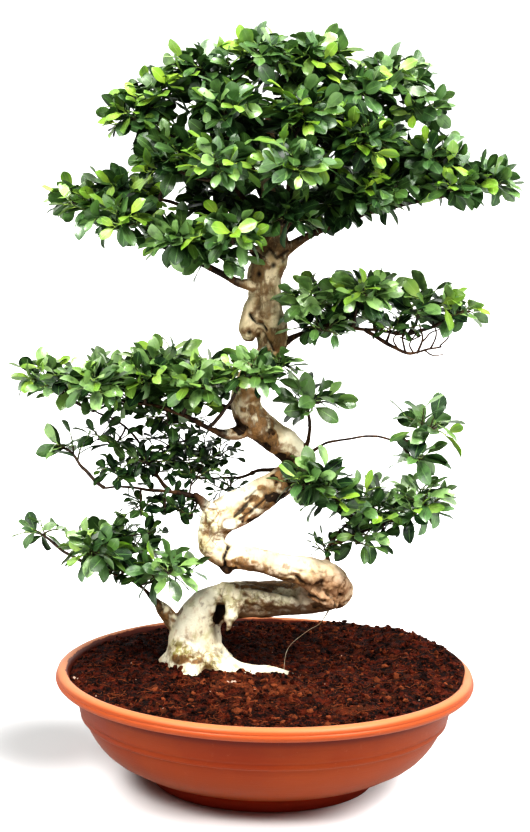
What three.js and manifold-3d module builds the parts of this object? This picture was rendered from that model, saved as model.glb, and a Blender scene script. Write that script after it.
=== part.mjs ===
// A ficus bonsai with an S-shaped trunk, growing in a round clay-coloured bowl.
// Millimetres, +Z up. The origin is the middle of the bowl's flat underside.
// The bowl, the soil and the whole woody trunk with its roots and limbs are one solid each.
// Each leafy spray is a solid of its own, with its leaves fused to the twigs that carry them.

import * as THREE from "three";
import { mergeVertices } from "three/addons/utils/BufferGeometryUtils.js";
import Module from "manifold-3d";

const wasm = await Module();
wasm.setup();

// Clearances
const SEAT_GAP = 0.3; // between pieces that touch
const WALL_GAP = 0.36; // between the soil and the bowl's sloping wall
const TWIG_GAP = 0.6; // round the twigs of another spray
const LEAF_GAP = 0.36; // round each leaf
const JOINT_VOLUME = 0.0005; // cubic millimetres that joined parts of a spray may share

// Bowl
const POT_SIDES = 28;
const DRAIN_HOLES = 4;
const DRAIN_RADIUS = 6;
const DRAIN_SIDES = 8;
const DRAIN_CIRCLE = 70;
const FLOOR_THICKNESS = 5;

// Leaves. The blade has its widest places at shares of its length and width.
const LEAF_LENGTH = 36;
const LEAF_WIDTH = 17;
const LEAF_THICKNESS = 1.4; // at the rib
const LEAF_FOLD = 1.8; // how far the rib lies below the blade's widest places
const LEAF_DROOP = 3.2; // how far the tip hangs below the line of the stalk
const BLADE_SHOULDER = { along: 0.3, aside: 0.38 };
const BLADE_WIDEST = { along: 0.64, aside: 0.5 };
const LEAF_GROWTH = { least: 0.84, spread: 0.26 }; // shares of the leaf length
const LEANS = { lower: 64, upper: 47, tip: 12 }; // degrees between a leaf and its shoot
const LEAN_CHANGES = [0, 9, -9]; // degrees, tried in turn where a leaf has no room
const FLATTENING = { most: 0.7, least: 0.95 }; // of the leaves' rise, in a flat spray

// Stems and shoots
const TWIG_SIDES = 3; // a leaf grows from each side at a node
const STEM_RADIUS = 2.1; // at the limb
const STRAIGHT_STEM = 28; // a stem shorter than this has no bend
const STEM_BEND = { along: 0.55, sag: 0.05, taper: 0.85 };
const SHARPEST_BEND = THREE.MathUtils.degToRad(75); // between two stretches of a twig
const SHOOT_RADIUS = 1.3;
const SHOOT_TAPER = 0.94; // over a node
const SHOOT_RISE = 0.12; // how far a shoot turns upward at a node
const NODE_LENGTH = 3.2;
const NODE_SPACING = 11;
const NODE_TURN = Math.PI / TWIG_SIDES; // leaves stand in the gaps of those before
const MAIN_SHOOT = { nodes: 2, rise: 0.35, swing: -0.3 };
const SIDE_SHOOT = { nodes: 1, rise: 0.3, start: 0.1, taper: 0.8 };
const SWINGS = [1.7, -1.7, 1.2, -1.2, 2.3, -2.3]; // radians, tried in turn for a side shoot
const FOOT = { back: 0.4, below: 0.35 }; // of the shoots, in shares of a spray's half-size

// Seats of the sprays on the limbs
const SEAT_SPACING = 8;
const SEATS_TRIED = 12;
const SEAT_DROP = 8; // a seat is better at least this far below the spray's middle
const HIGH_SEAT_COST = 0.6; // per millimetre above that

// Bowl: radius and height along the outside, from the foot to the rolled rim, then down the inside
const POT_OUTSIDE = [
  [0, 0], [119, 0], [119, 10], [143, 15], [173, 36.5], [195, 70.5],
  [199.6, 79.5], [208, 104], [222, 106], [225.5, 114], [222, 122], [213, 122],
];
const POT_INSIDE = [
  [204, 104], [190, 70], [170, 41], [141, 20], [114, 14], [114, FLOOR_THICKNESS], [0, FLOOR_THICKNESS],
];

// Soil: its top from the wall to the trunk, its waves, and the mound at the right and back
const SOIL_TOP = [[207, 112], [160, 115], [0, 120]];
const SOIL_EDGE = { radius: 207, width: 14, lowest: 100 }; // it isn't lifted at the wall or below
const SOIL_WAVES = { height: 1.6, x: 23, y: 31 };
const MOUND = { x: 150, y: 80, height: 13, radius: 52 };

// Facets of the wood: sides round it, and the step along it
const WOOD = {
  stem: { sides: 9, step: 18, flute: 0.05 },
  root: { sides: 6, step: 20 },
  limb: { sides: 8, step: 14 },
  branch: { sides: 4, step: 38 },
};
const LIMB_RADIUS = 9; // a limb thinner than this is a branch

// Trunk centreline from the buried end to the leader's tip: x, y, z and radius
const TRUNK_LINE = [
  [-76, 30, 84, 30], [-76, 30, 100, 34], [-75, 30, 116, 34], [-78, 30, 137, 30.1],
  [-77, 30, 159, 27.9], [-69, 31, 178, 26.2], [-50, 33, 187, 23.5], [-23, 35, 189, 20.2],
  [4, 35, 191, 19.7], [36, 32, 193, 19.1], [62, 21, 199, 19.5], [71, 7, 210, 19.4],
  [63, -7, 224, 18.2], [39, -14, 233, 16.5], [14, -16, 238, 14.4], [-13, -14, 244, 13.3],
  [-37, -12, 246, 12.8], [-55, -10, 252, 14.4], [-60, -8, 265, 14.4], [-56, -4, 281, 17.1],
  [-44, 0, 293, 17.1], [-26, 5, 302, 16.6], [-7, 10, 313, 15], [12, 15, 323, 14.5],
  [26, 18, 335, 14], [29, 18, 348, 14.5], [20, 14, 361, 15], [5, 10, 372, 15.5],
  [-10, 6, 384, 16], [-23, 4, 397, 15.9], [-27, 4, 413, 15.4], [-22, 5, 431, 14.9],
  [-11, 6, 448, 13.8], [-1, 6, 465, 14.3], [0, 6, 481, 16.4], [-3, 5, 498, 18.4],
  [-6, 5, 514, 18.4], [-8, 5, 530, 18.4], [-9, 5, 546, 18.9], [-3, 5, 562, 18.9],
  [1, 5, 578, 16.8], [-1, 3, 596, 12.6], [-5, 0, 620, 9.4], [-8, -2, 646, 7.3],
  [-4, 0, 677, 5.7], [-9, 0, 708, 4.2],
];

// Surface roots, which run out from the foot of the trunk and dive into the soil
const ROOTS = [
  [[-58, 20, 130, 16], [-33, 8, 121, 9.5], [-3, 2, 117, 7.5], [25, -4, 110, 4.5]],
  [[-76, 14, 130, 16], [-79, -4, 118, 12], [-83, -22, 106, 7]],
  [[-94, 32, 128, 15], [-106, 34, 116, 10], [-122, 38, 104, 5]],
  [[-72, 48, 132, 15], [-66, 72, 119, 9], [-58, 94, 106, 4]],
  [[-56, 42, 128, 13], [-28, 60, 116, 7.5], [-2, 74, 105, 4]],
];

// Limbs, stubs, lumps and the pruned knob, each from inside the wood that it grows from to its tip
const LIMBS = {
  hanging_lump: [[-36, 16, 197, 12], [-36, 11, 186, 10.5], [-38, 6, 175, 9], [-43, 4, 162, 5]],
  bend_lump: [[50, -14, 212, 9], [62, -19, 204, 8], [72, -15, 197, 6]],
  spur: [[-56, -10, 252, 10], [-48, -14, 244, 7.5], [-41, -17, 232, 4]],
  knob: [[-14, 3, 526, 10], [-20, 0, 506, 11.4], [-24, -3, 489, 11.2], [-25, -4, 481, 7]],
  low_left: [
    [-90, 28, 150, 9], [-109, 24, 174, 7], [-119, 20, 187, 6], [-129, 10, 201, 4],
    [-139, 4, 210, 3.2], [-156, 0, 219, 2.8], [-176, -5, 226, 2.4],
  ],
  middle_left: [
    [-58, -4, 292, 10], [-79, -8, 309, 7], [-105, -8, 314, 4.2], [-148, 0, 316, 3],
    [-176, 0, 316, 2.5],
  ],
  middle_back: [[15, 24, 336, 6], [-8, 38, 332, 4.6], [-37, 42, 321, 4], [-84, 43, 321, 3]],
  left_pad: [
    [-22, 4, 384, 10], [-41, -8, 378, 7.5], [-65, -22, 386, 6], [-92, -24, 401, 4.6],
    [-138, -15, 411, 3.6], [-180, -8, 412, 2.8],
  ],
  left_pad_back: [[-24, 8, 402, 7], [-52, 24, 404, 4.6], [-92, 32, 412, 3.4], [-130, 30, 414, 2.6]],
  left_under: [
    [-106, -6, 315, 4], [-124, 8, 336, 3.6], [-141, 14, 366, 3.2], [-160, 12, 384, 2.8],
    [-188, 4, 398, 2.4],
  ],
  right_pad: [
    [4, 8, 468, 8], [29, 0, 485, 5.4], [60, -7, 496, 4.4], [98, -6, 492, 3.6], [145, 0, 488, 2.8],
  ],
  right_twig_upper: [[27, 16, 350, 6], [40, 10, 366, 3.6], [42, 6, 386, 2.6]],
  right_twig_far: [[26, 17, 344, 6], [59, 12, 366, 3.2], [106, 2, 377, 2.8], [138, -2, 374, 2.4]],
  low_right: [[66, -2, 222, 10], [64, -4, 248, 4.8], [72, -9, 270, 4], [95, -10, 296, 3]],
  low_right_outer: [[70, -8, 262, 4], [96, -8, 272, 3.4], [128, -6, 288, 2.6]],
  crown_left_low: [
    [-8, 2, 536, 12], [-35, -12, 539, 7.5], [-54, -20, 549, 6.5], [-102, -30, 573, 4.6],
    [-160, -30, 596, 3],
  ],
  crown_left_middle: [
    [-6, 2, 556, 9], [-36, 10, 587, 5.5], [-68, 15, 607, 4.4], [-121, 20, 622, 2.8],
  ],
  crown_right_low: [
    [2, 3, 566, 11], [32, -8, 587, 7], [59, -10, 600, 6], [99, -10, 615, 5], [149, -8, 628, 4],
    [187, -5, 636, 3],
  ],
  crown_front_low: [[-6, 0, 556, 8], [-25, -35, 576, 4.5], [-40, -62, 588, 3]],
  crown_top_left: [[-4, 0, 606, 6], [-25, -4, 661, 4], [-46, -6, 709, 3], [-65, -5, 735, 2.4]],
  crown_top_right: [[-6, -1, 632, 5], [16, 0, 683, 3.6], [29, 2, 729, 2.6]],
  crown_right_high: [
    [0, 2, 586, 8], [26, -5, 616, 5], [57, -8, 648, 4], [85, -4, 689, 3.2], [105, 0, 719, 2.4],
  ],
  crown_back: [[-2, 5, 572, 8], [-9, 50, 599, 4.6], [0, 92, 631, 3]],
  crown_front_middle: [[-3, 0, 598, 6], [9, -50, 633, 4], [14, -88, 650, 2.8]],
  crown_back_left: [[-4, 4, 582, 7], [-33, 55, 613, 4], [-58, 90, 626, 2.8]],
  crown_back_right: [[0, 4, 592, 7], [36, 50, 613, 4], [71, 84, 622, 2.8]],
  crown_shoulder_left: [
    [-3, 2, 592, 6], [-49, -6, 647, 4], [-98, -8, 684, 3.2], [-127, -8, 696, 2.4],
  ],
  crown_front_left: [[-4, 0, 580, 6], [-28, -50, 623, 4], [-48, -86, 648, 2.8]],
  aerial_root: [
    [72, 12, 192, 3], [59, 10, 170, 1.3], [45, 8, 161, 1.1], [24, 5, 141, 1.1], [20, 4, 108, 1.1],
  ],
};

// Leafy sprays: name, middle, and half-size along x, y and z
const SPRAYS = [
  ["crown_far_left", [-202, 0, 618], [27, 28, 15]],
  ["crown_left_front", [-154, -48, 602], [27, 28, 16]],
  ["crown_left_back", [-158, 52, 620], [30, 30, 19]],
  ["crown_low_front_left", [-96, -62, 586], [26, 28, 16]],
  ["crown_low_front", [-42, -88, 594], [26, 26, 20]],
  ["crown_shoulder_left", [-142, -8, 708], [25, 28, 21]],
  ["crown_middle_left_front", [-106, -62, 666], [26, 30, 22]],
  ["crown_middle_left_back", [-112, 68, 672], [30, 32, 24]],
  ["crown_front_left", [-54, -108, 664], [26, 30, 22]],
  ["crown_top_left", [-80, -4, 757], [27, 30, 19]],
  ["crown_top_front", [-20, -28, 771], [27, 28, 18]],
  ["crown_top_right", [42, 4, 772], [29, 30, 19]],
  ["crown_far_top_right", [120, 4, 750], [27, 28, 19]],
  ["crown_upper_front_left", [-50, -76, 716], [26, 28, 22]],
  ["crown_upper_front_right", [28, -72, 718], [28, 30, 22]],
  ["crown_upper_back_left", [-56, 70, 718], [30, 30, 24]],
  ["crown_upper_back_right", [46, 76, 718], [30, 32, 24]],
  ["crown_front_right", [16, -116, 664], [28, 30, 22]],
  ["crown_middle_right_front", [86, -62, 688], [28, 30, 22]],
  ["crown_middle_right_back", [102, 62, 682], [30, 32, 24]],
  ["crown_low_right_front", [88, -60, 634], [28, 28, 14]],
  ["crown_right_front", [158, -28, 672], [27, 28, 18]],
  ["crown_right_back", [162, 42, 652], [28, 30, 17]],
  ["crown_far_right", [218, 0, 648], [23, 26, 15]],
  ["crown_back_left", [-66, 112, 640], [31, 30, 22]],
  ["crown_back", [10, 124, 658], [31, 30, 24]],
  ["crown_back_right", [82, 104, 634], [31, 30, 22]],
  ["left_pad_tip", [-238, -4, 432], [25, 28, 17]],
  ["left_pad_front", [-180, -34, 430], [27, 28, 15]],
  ["left_pad_back", [-186, 36, 428], [28, 30, 15]],
  ["left_pad_middle", [-128, -14, 440], [25, 28, 19]],
  ["left_pad_inner_front", [-76, -46, 436], [23, 26, 17]],
  ["left_pad_inner_back", [-76, 42, 434], [28, 30, 17]],
  ["left_pad_at_trunk", [-24, -50, 448], [23, 22, 19]],
  ["middle_left_tip", [-216, 0, 358], [17, 20, 11]],
  ["middle_left_front", [-160, -6, 334], [21, 24, 15]],
  ["middle_left_back", [-96, 52, 336], [31, 30, 20]],
  ["middle_left_low", [-136, -6, 292], [17, 20, 13]],
  ["low_left_tip", [-242, 0, 266], [15, 18, 11]],
  ["low_left_front", [-182, -22, 250], [25, 26, 15]],
  ["low_left_back", [-174, 34, 246], [28, 28, 15]],
  ["low_left_inner", [-108, -22, 230], [26, 24, 15]],
  ["right_pad_inner", [40, -14, 520], [21, 26, 17]],
  ["right_pad_front", [92, -26, 530], [27, 28, 15]],
  ["right_pad_back", [106, 36, 522], [28, 30, 15]],
  ["right_pad_outer", [164, -2, 518], [25, 26, 13]],
  ["right_sprig_upper", [44, 4, 412], [21, 24, 15]],
  ["right_sprig_far", [164, -2, 388], [19, 22, 23]],
  ["bend_shoot", [50, -30, 336], [21, 20, 13]],
  ["low_right_inner", [70, -18, 314], [23, 26, 21]],
  ["low_right_under", [100, -8, 270], [19, 24, 19]],
  ["low_right_back", [112, 38, 296], [26, 28, 20]],
  ["low_right_outer", [160, -6, 304], [23, 26, 26]],
];

const clay = { color: "#cd552d", roughness: 0.55, metalness: 0 };
const peat = { color: "#3b241a", roughness: 0.95, metalness: 0 };
const bark = { color: "#b59e80", roughness: 0.8, metalness: 0 };
const foliage = { color: "#2f4f24", roughness: 0.4, metalness: 0 };

// Closed solids, and the surfaces that they are made from
function weld(geometry) {
  geometry.deleteAttribute("normal");
  geometry.deleteAttribute("uv");
  const welded = mergeVertices(geometry);
  const corners = welded.index.array;
  const kept = [];
  for (let i = 0; i < corners.length; i += 3) {
    const [a, b, c] = [corners[i], corners[i + 1], corners[i + 2]];
    if (a !== b && b !== c && c !== a) kept.push(a, b, c);
  }
  welded.setIndex(kept);
  return welded;
}

function solid(welded) {
  return new wasm.Manifold(new wasm.Mesh({
    numProp: 3,
    vertProperties: Float32Array.from(welded.attributes.position.array),
    triVerts: Uint32Array.from(welded.index.array),
  }));
}

function geometryOf(body) {
  const mesh = body.getMesh();
  const geometry = new THREE.BufferGeometry();
  geometry.setAttribute("position", new THREE.BufferAttribute(mesh.vertProperties, 3));
  geometry.setIndex(new THREE.BufferAttribute(mesh.triVerts, 1));
  geometry.computeVertexNormals();
  return geometry;
}

function union(bodies) {
  return bodies.reduce((whole, body) => whole.add(body));
}

// A tapered tube with closed ends along a curve through rows of x, y, z and radius.
// It can be grown by a clearance, and fluted so that its section isn't a plain circle.
function curveThrough(rows) {
  return new THREE.CatmullRomCurve3(rows.map(([x, y, z]) => new THREE.Vector3(x, y, z)));
}

function radiusAlong(rows, curve, share) {
  const place = curve.getUtoTmapping(share) * (rows.length - 1);
  const row = Math.min(Math.floor(place), rows.length - 2);
  return THREE.MathUtils.lerp(rows[row][3], rows[row + 1][3], place - row);
}

function tube(rows, { sides, step, grow = 0, flute = 0 }) {
  const curve = curveThrough(rows);
  const steps = Math.max(1, Math.round(curve.getLength() / step));
  const frames = curve.computeFrenetFrames(steps, false);
  const form = weld(new THREE.CylinderGeometry(1, 1, 1, sides, steps));
  const position = form.attributes.position;
  for (let i = 0; i < position.count; i += 1) {
    const [across, along, beside] = [position.getX(i), position.getY(i) + 0.5, position.getZ(i)];
    const ring = Math.round(along * steps);
    const angle = Math.atan2(beside, across);
    const ripple = Math.cos(2 * angle + 9 * along) + 0.8 * Math.cos(3 * angle - 14 * along);
    const radius = radiusAlong(rows, curve, along) * (1 + flute * ripple) + grow;
    const point = curve.getPointAt(along)
      .addScaledVector(frames.normals[ring], across * radius)
      .addScaledVector(frames.binormals[ring], -beside * radius);
    if (ring === 0) point.addScaledVector(frames.tangents[ring], -grow);
    if (ring === steps) point.addScaledVector(frames.tangents[ring], grow);
    position.setXYZ(i, point.x, point.y, point.z);
  }
  return solid(form);
}

// A body of revolution round +Z, shaped afterwards by a function of x, y and z
function turned(profile, sides, lift = () => 0) {
  const outline = profile.map(([radius, height]) => new THREE.Vector2(radius, height));
  const form = weld(new THREE.LatheGeometry(outline, sides).rotateX(Math.PI / 2));
  const position = form.attributes.position;
  for (let i = 0; i < position.count; i += 1) {
    const [x, y, z] = [position.getX(i), position.getY(i), position.getZ(i)];
    position.setZ(i, z + lift(x, y, z));
  }
  return solid(form);
}

// Bowl
function pot() {
  const bowl = turned([...POT_OUTSIDE, ...POT_INSIDE], POT_SIDES);
  const drill = new THREE.CylinderGeometry(DRAIN_RADIUS, DRAIN_RADIUS, 4 * FLOOR_THICKNESS, DRAIN_SIDES);
  drill.rotateX(Math.PI / 2);
  const form = weld(drill);
  const drills = Array.from({ length: DRAIN_HOLES }, (_, i) => {
    const angle = (2 * Math.PI * (i + 0.5)) / DRAIN_HOLES;
    const hole = form.clone().translate(DRAIN_CIRCLE * Math.cos(angle), DRAIN_CIRCLE * Math.sin(angle), 0);
    return solid(hole);
  });
  return drills.reduce((body, hole) => body.subtract(hole), bowl);
}

// Soil, which fills the bowl and has plain holes for the trunk and its roots
function soilSwell(x, y, z) {
  if (z < SOIL_EDGE.lowest) return 0;
  const away = Math.hypot(x - MOUND.x, y - MOUND.y) / MOUND.radius;
  const mound = MOUND.height * Math.exp(-away * away);
  const wave = SOIL_WAVES.height * Math.sin(x / SOIL_WAVES.x) * Math.cos(y / SOIL_WAVES.y);
  const fromEdge = SOIL_EDGE.radius - Math.hypot(x, y);
  return (mound + wave) * THREE.MathUtils.smoothstep(fromEdge, 0, SOIL_EDGE.width);
}

function soil(wood) {
  const wall = [...POT_INSIDE].reverse().map(([radius, height]) => {
    const inset = radius === 0 ? 0 : WALL_GAP;
    return [radius - inset, height + SEAT_GAP];
  });
  return turned([...wall, ...SOIL_TOP], POT_SIDES, soilSwell).subtract(wood);
}

// Trunk with its surface roots, limbs and aerial root
function trunk(grow) {
  const stem = tube(TRUNK_LINE, { ...WOOD.stem, grow });
  const roots = ROOTS.map((rows) => tube(rows, { ...WOOD.root, grow }));
  const limbs = Object.values(LIMBS).map((rows) => {
    const [, [, , , radius]] = rows;
    return tube(rows, { ...(radius > LIMB_RADIUS ? WOOD.limb : WOOD.branch), grow });
  });
  return union([stem, ...roots, ...limbs]);
}

// Leaves and sprays. Fractions of a running number's multiples spread them evenly.
const GOLDEN = 0.618034;
const PLASTIC = 0.56984;

function fraction(number, ratio) {
  return (number * ratio) % 1;
}

// The corners of a blade past its stalk, in its own frame: the stalk at the origin, the
// tip along +X, the face up. It is thickest at its rib and thins to its edge, is folded
// along the rib and droops to the tip.
function bladeCorners(length, grow = 0) {
  const half = LEAF_THICKNESS / 2 + grow;
  const [near, widest] = [BLADE_SHOULDER.along * length, BLADE_WIDEST.along * length];
  const [nearSide, wideSide] = [BLADE_SHOULDER, BLADE_WIDEST].map(({ aside }) => aside * LEAF_WIDTH + grow);
  const hang = (x) => -LEAF_DROOP * (x / length) ** 2;
  return [
    [near, -nearSide, LEAF_FOLD + hang(near)],
    [widest, -wideSide, LEAF_FOLD + hang(widest)],
    [length + grow, 0, hang(length)],
    [widest, wideSide, LEAF_FOLD + hang(widest)],
    [near, nearSide, LEAF_FOLD + hang(near)],
    [length / 2, 0, half + hang(length / 2)],
    [length / 2, 0, hang(length / 2) - half],
  ].map((corner) => new THREE.Vector3(...corner));
}

// Corner numbers of a leaf. The first three are its stalk's foot on the twig.
// Both faces of the blade are fans round the rib, so they are split alike.
const [NEAR_RIGHT, WIDE_RIGHT, TIP, WIDE_LEFT, NEAR_LEFT, RIB_TOP, RIB_BOTTOM] = [3, 4, 5, 6, 7, 8, 9];
const BLADE_EDGE = [NEAR_RIGHT, WIDE_RIGHT, TIP, WIDE_LEFT, NEAR_LEFT];
const BLADE_FACES = BLADE_EDGE.slice(1).flatMap((corner, i) => [
  [BLADE_EDGE[i], corner, RIB_TOP],
  [corner, BLADE_EDGE[i], RIB_BOTTOM],
]);
const LEAF_FACES = [
  ...BLADE_FACES, [0, 1, RIB_BOTTOM], [1, NEAR_LEFT, RIB_BOTTOM], [1, 2, NEAR_LEFT], [2, RIB_TOP, NEAR_LEFT],
  [2, NEAR_RIGHT, RIB_TOP], [2, 0, NEAR_RIGHT], [0, RIB_BOTTOM, NEAR_RIGHT],
];

function bladeFrame(root, direction, facing) {
  const x = direction.clone().normalize();
  const z = facing.clone().addScaledVector(x, -facing.dot(x)).normalize();
  return new THREE.Matrix4().makeBasis(x, z.clone().cross(x), z).setPosition(root);
}

// The space that a blade takes up, as a solid that comes to a point at its stalk
function bladeSpace({ root, direction, facing, length }, grow) {
  const start = root.clone().addScaledVector(direction, 2 * grow);
  const frame = bladeFrame(start, direction, facing);
  const corners = [new THREE.Vector3(), ...bladeCorners(length, grow)];
  const faces = [
    ...BLADE_FACES, [2, NEAR_RIGHT, RIB_TOP], [NEAR_RIGHT, 2, RIB_BOTTOM],
    [NEAR_LEFT, 2, RIB_TOP], [2, NEAR_LEFT, RIB_BOTTOM],
  ].map((face) => face.map((corner) => corner - 2));
  return bodyOf(corners.map((corner) => corner.applyMatrix4(frame)), faces);
}

// Everything that a new twig or leaf must stay clear of, unless it's in the same spray
const placed = [];

function apart(one, other) {
  return one.min.some((low, axis) => low > other.max[axis] || one.max[axis] < other.min[axis]);
}

function isClear(body, owner) {
  const box = body.boundingBox();
  return placed.every((other) => (
    other.owner === owner || apart(box, other.box) || body.intersect(other.body).isEmpty()
  ));
}

function keep(body, owner) {
  placed.push({ body, owner, box: body.boundingBox() });
}

// In its own spray a leaf may touch the others only where it's joined to them
function isSeparate(body, grown) {
  return grown.every((other) => body.intersect(other).volume() < JOINT_VOLUME);
}

// The rings of a three-sided twig through stations of point, radius and turn
function twigRings(stations, grow = 0) {
  const points = [];
  const rings = [];
  const beside = new THREE.Vector3(0, 0, 1);
  stations.forEach((station, i) => {
    const before = stations[Math.max(i - 1, 0)].point;
    const after = stations[Math.min(i + 1, stations.length - 1)].point;
    const axis = after.clone().sub(before).normalize();
    if (i === 0 && Math.abs(axis.z) > 0.9) beside.set(1, 0, 0);
    beside.addScaledVector(axis, -beside.dot(axis)).normalize();
    rings.push({ axis, first: points.length, station });
    for (let side = 0; side < TWIG_SIDES; side += 1) {
      const angle = station.turn + (2 * Math.PI * side) / TWIG_SIDES;
      const spoke = beside.clone().applyAxisAngle(axis, angle);
      points.push(station.point.clone().addScaledVector(spoke, station.radius + grow));
    }
  });
  return { points, rings };
}

function bodyOf(points, faces) {
  const form = new THREE.BufferGeometry().setFromPoints(points);
  form.setIndex(faces.flat());
  return solid(form);
}

// A twig without its leaves
function bareTwig(stations, grow = 0) {
  const { points, rings } = twigRings(stations, grow);
  const faces = [[0, 2, 1], [points.length - 3, points.length - 2, points.length - 1]];
  rings.slice(1).forEach((ring, i) => {
    for (let side = 0; side < TWIG_SIDES; side += 1) {
      const next = (side + 1) % TWIG_SIDES;
      const [a, b] = [rings[i].first + side, rings[i].first + next];
      faces.push([a, b, ring.first + next], [a, ring.first + next, ring.first + side]);
    }
  });
  return bodyOf(points, faces);
}

// A twig with its leaves. At a node, which is the short stretch after a station with a
// lean, a leaf is raised from each side of the twig, and one more from its end. A leaf
// with no clear space is left out.
function twigWithLeaves(stations, { owner, flatten, grown }, number) {
  const { points, rings } = twigRings(stations);
  const faces = [];

  function raiseLeaf(root, frame) {
    const leaf = { root: new THREE.Vector3(), ...frame };
    root.forEach((corner) => leaf.root.addScaledVector(points[corner], 1 / 3));
    const place = bladeFrame(leaf.root, leaf.direction, leaf.facing);
    const blade = bladeCorners(leaf.length).map((corner) => corner.applyMatrix4(place));
    const corners = [...root.map((corner) => points[corner]), ...blade];
    const space = bladeSpace(leaf, LEAF_GAP);
    const body = bodyOf(corners, [[2, 1, 0], ...LEAF_FACES]);
    if (!isClear(space, owner) || !isSeparate(body, grown)) return false;
    keep(space, owner);
    grown.push(body);
    const numbers = [...root, ...blade.keys().map((i) => points.length + i)];
    points.push(...blade);
    faces.push(...LEAF_FACES.map((face) => face.map((corner) => numbers[corner])));
    return true;
  }

  function leafFrame(axis, outward, lean, length) {
    const angle = THREE.MathUtils.degToRad(lean);
    const direction = axis.clone().multiplyScalar(Math.cos(angle)).addScaledVector(outward, Math.sin(angle));
    direction.z *= flatten;
    const facing = axis.clone().multiplyScalar(Math.sin(angle)).addScaledVector(outward, -Math.cos(angle));
    return { direction: direction.normalize(), facing, length };
  }

  function leafLength(i) {
    return LEAF_LENGTH * (LEAF_GROWTH.least + LEAF_GROWTH.spread * fraction(number + i, GOLDEN));
  }

  faces.push([0, 2, 1]);
  rings.slice(1).forEach((ring, i) => {
    const { axis, first, station: { lean } } = rings[i];
    for (let side = 0; side < TWIG_SIDES; side += 1) {
      const next = (side + 1) % TWIG_SIDES;
      const [a, b, c, d] = [first + side, first + next, ring.first + next, ring.first + side];
      const outward = points[a].clone().add(points[b]).sub(rings[i].station.point.clone().multiplyScalar(2));
      outward.addScaledVector(axis, -outward.dot(axis)).normalize();
      const leans = lean ? LEAN_CHANGES.map((change) => lean + change) : [];
      const length = leafLength(3 * i + side);
      const raised = leans.some((angle) => raiseLeaf([a, b, c], leafFrame(axis, outward, angle, length)));
      if (!raised) faces.push([a, b, c]);
      faces.push([a, c, d]);
    }
  });
  const end = rings.at(-1);
  const cap = [end.first, end.first + 1, end.first + 2];
  const upward = points[cap[2]].clone().sub(end.station.point).normalize();
  const frame = leafFrame(end.axis, upward, LEANS.tip, leafLength(7));
  if (!raiseLeaf(cap, { ...frame, facing: upward })) faces.push(cap);
  return bodyOf(points, faces);
}

// Stations of a leafy shoot from a foot towards a tip, with a number of nodes
function shootStations(foot, toward, nodes, turn) {
  const stations = [];
  const rise = new THREE.Vector3(0, 0, SHOOT_RISE);
  const direction = toward.clone().normalize();
  const point = foot.clone();
  for (let node = 0; node < nodes; node += 1) {
    const lean = node === nodes - 1 ? LEANS.upper : LEANS.lower;
    const radius = SHOOT_RADIUS * SHOOT_TAPER ** (2 * node);
    point.addScaledVector(direction, node === 0 ? 0.5 * NODE_SPACING : NODE_SPACING - NODE_LENGTH);
    stations.push({ point: point.clone(), radius, turn: turn - node * NODE_TURN, lean });
    point.addScaledVector(direction, NODE_LENGTH);
    stations.push({ point: point.clone(), radius: SHOOT_TAPER * radius, turn: turn - node * NODE_TURN });
    direction.add(rise).normalize();
  }
  return stations;
}

// Lumps and roots that carry no leaves
const LEAFLESS = new Set(["hanging_lump", "bend_lump", "spur", "knob", "aerial_root"]);

// The place on the limbs that a spray grows from: near it, and rather below it than above
const SEATS = Object.entries({ ...LIMBS, leader: TRUNK_LINE.slice(-8) })
  .filter(([name]) => !LEAFLESS.has(name))
  .flatMap(([, rows]) => {
    const curve = curveThrough(rows);
    return curve.getSpacedPoints(Math.round(curve.getLength() / SEAT_SPACING)).slice(2);
  });

function seatsFor(middle) {
  const tooHigh = (seat) => Math.max(0, seat.z - middle.z + SEAT_DROP);
  const cost = (seat) => seat.distanceTo(middle) + HIGH_SEAT_COST * tooHigh(seat);
  return [...SEATS].sort((one, other) => cost(one) - cost(other)).slice(0, SEATS_TRIED);
}

// A spray is one leafy twig from its seat in the limb to its middle, and a side shoot
function sprayTwigs(seat, middle, reach, swing, turn) {
  const up = new THREE.Vector3(0, 0, 1);
  const away = middle.clone().sub(seat).setZ(0).normalize();
  const foot = middle.clone().addScaledVector(away, -FOOT.back * reach.x);
  foot.z -= FOOT.below * reach.z;
  const main = away.clone().applyAxisAngle(up, MAIN_SHOOT.swing * swing).setZ(MAIN_SHOOT.rise);
  const aside = away.clone().applyAxisAngle(up, swing).setZ(SIDE_SHOOT.rise);
  const span = seat.distanceTo(foot);
  const bend = seat.clone().lerp(foot, STEM_BEND.along);
  bend.z -= STEM_BEND.sag * span;
  const stem = [{ point: seat, radius: STEM_RADIUS, turn }];
  if (span > STRAIGHT_STEM) stem.push({ point: bend, radius: STEM_BEND.taper * STEM_RADIUS, turn });
  stem.push({ point: foot, radius: SHOOT_RADIUS, turn });
  const start = {
    point: foot.clone().lerp(bend, SIDE_SHOOT.start),
    radius: SIDE_SHOOT.taper * SHOOT_RADIUS,
    turn: turn + NODE_TURN,
  };
  return [
    [...stem, ...shootStations(foot, main, MAIN_SHOOT.nodes, turn)],
    [start, ...shootStations(foot, aside, SIDE_SHOOT.nodes, turn)],
  ];
}

function sharpestBend(stations) {
  const legs = stations.slice(1).map(({ point }, i) => point.clone().sub(stations[i].point));
  return Math.max(...legs.slice(1).map((leg, i) => leg.angleTo(legs[i])));
}

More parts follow.
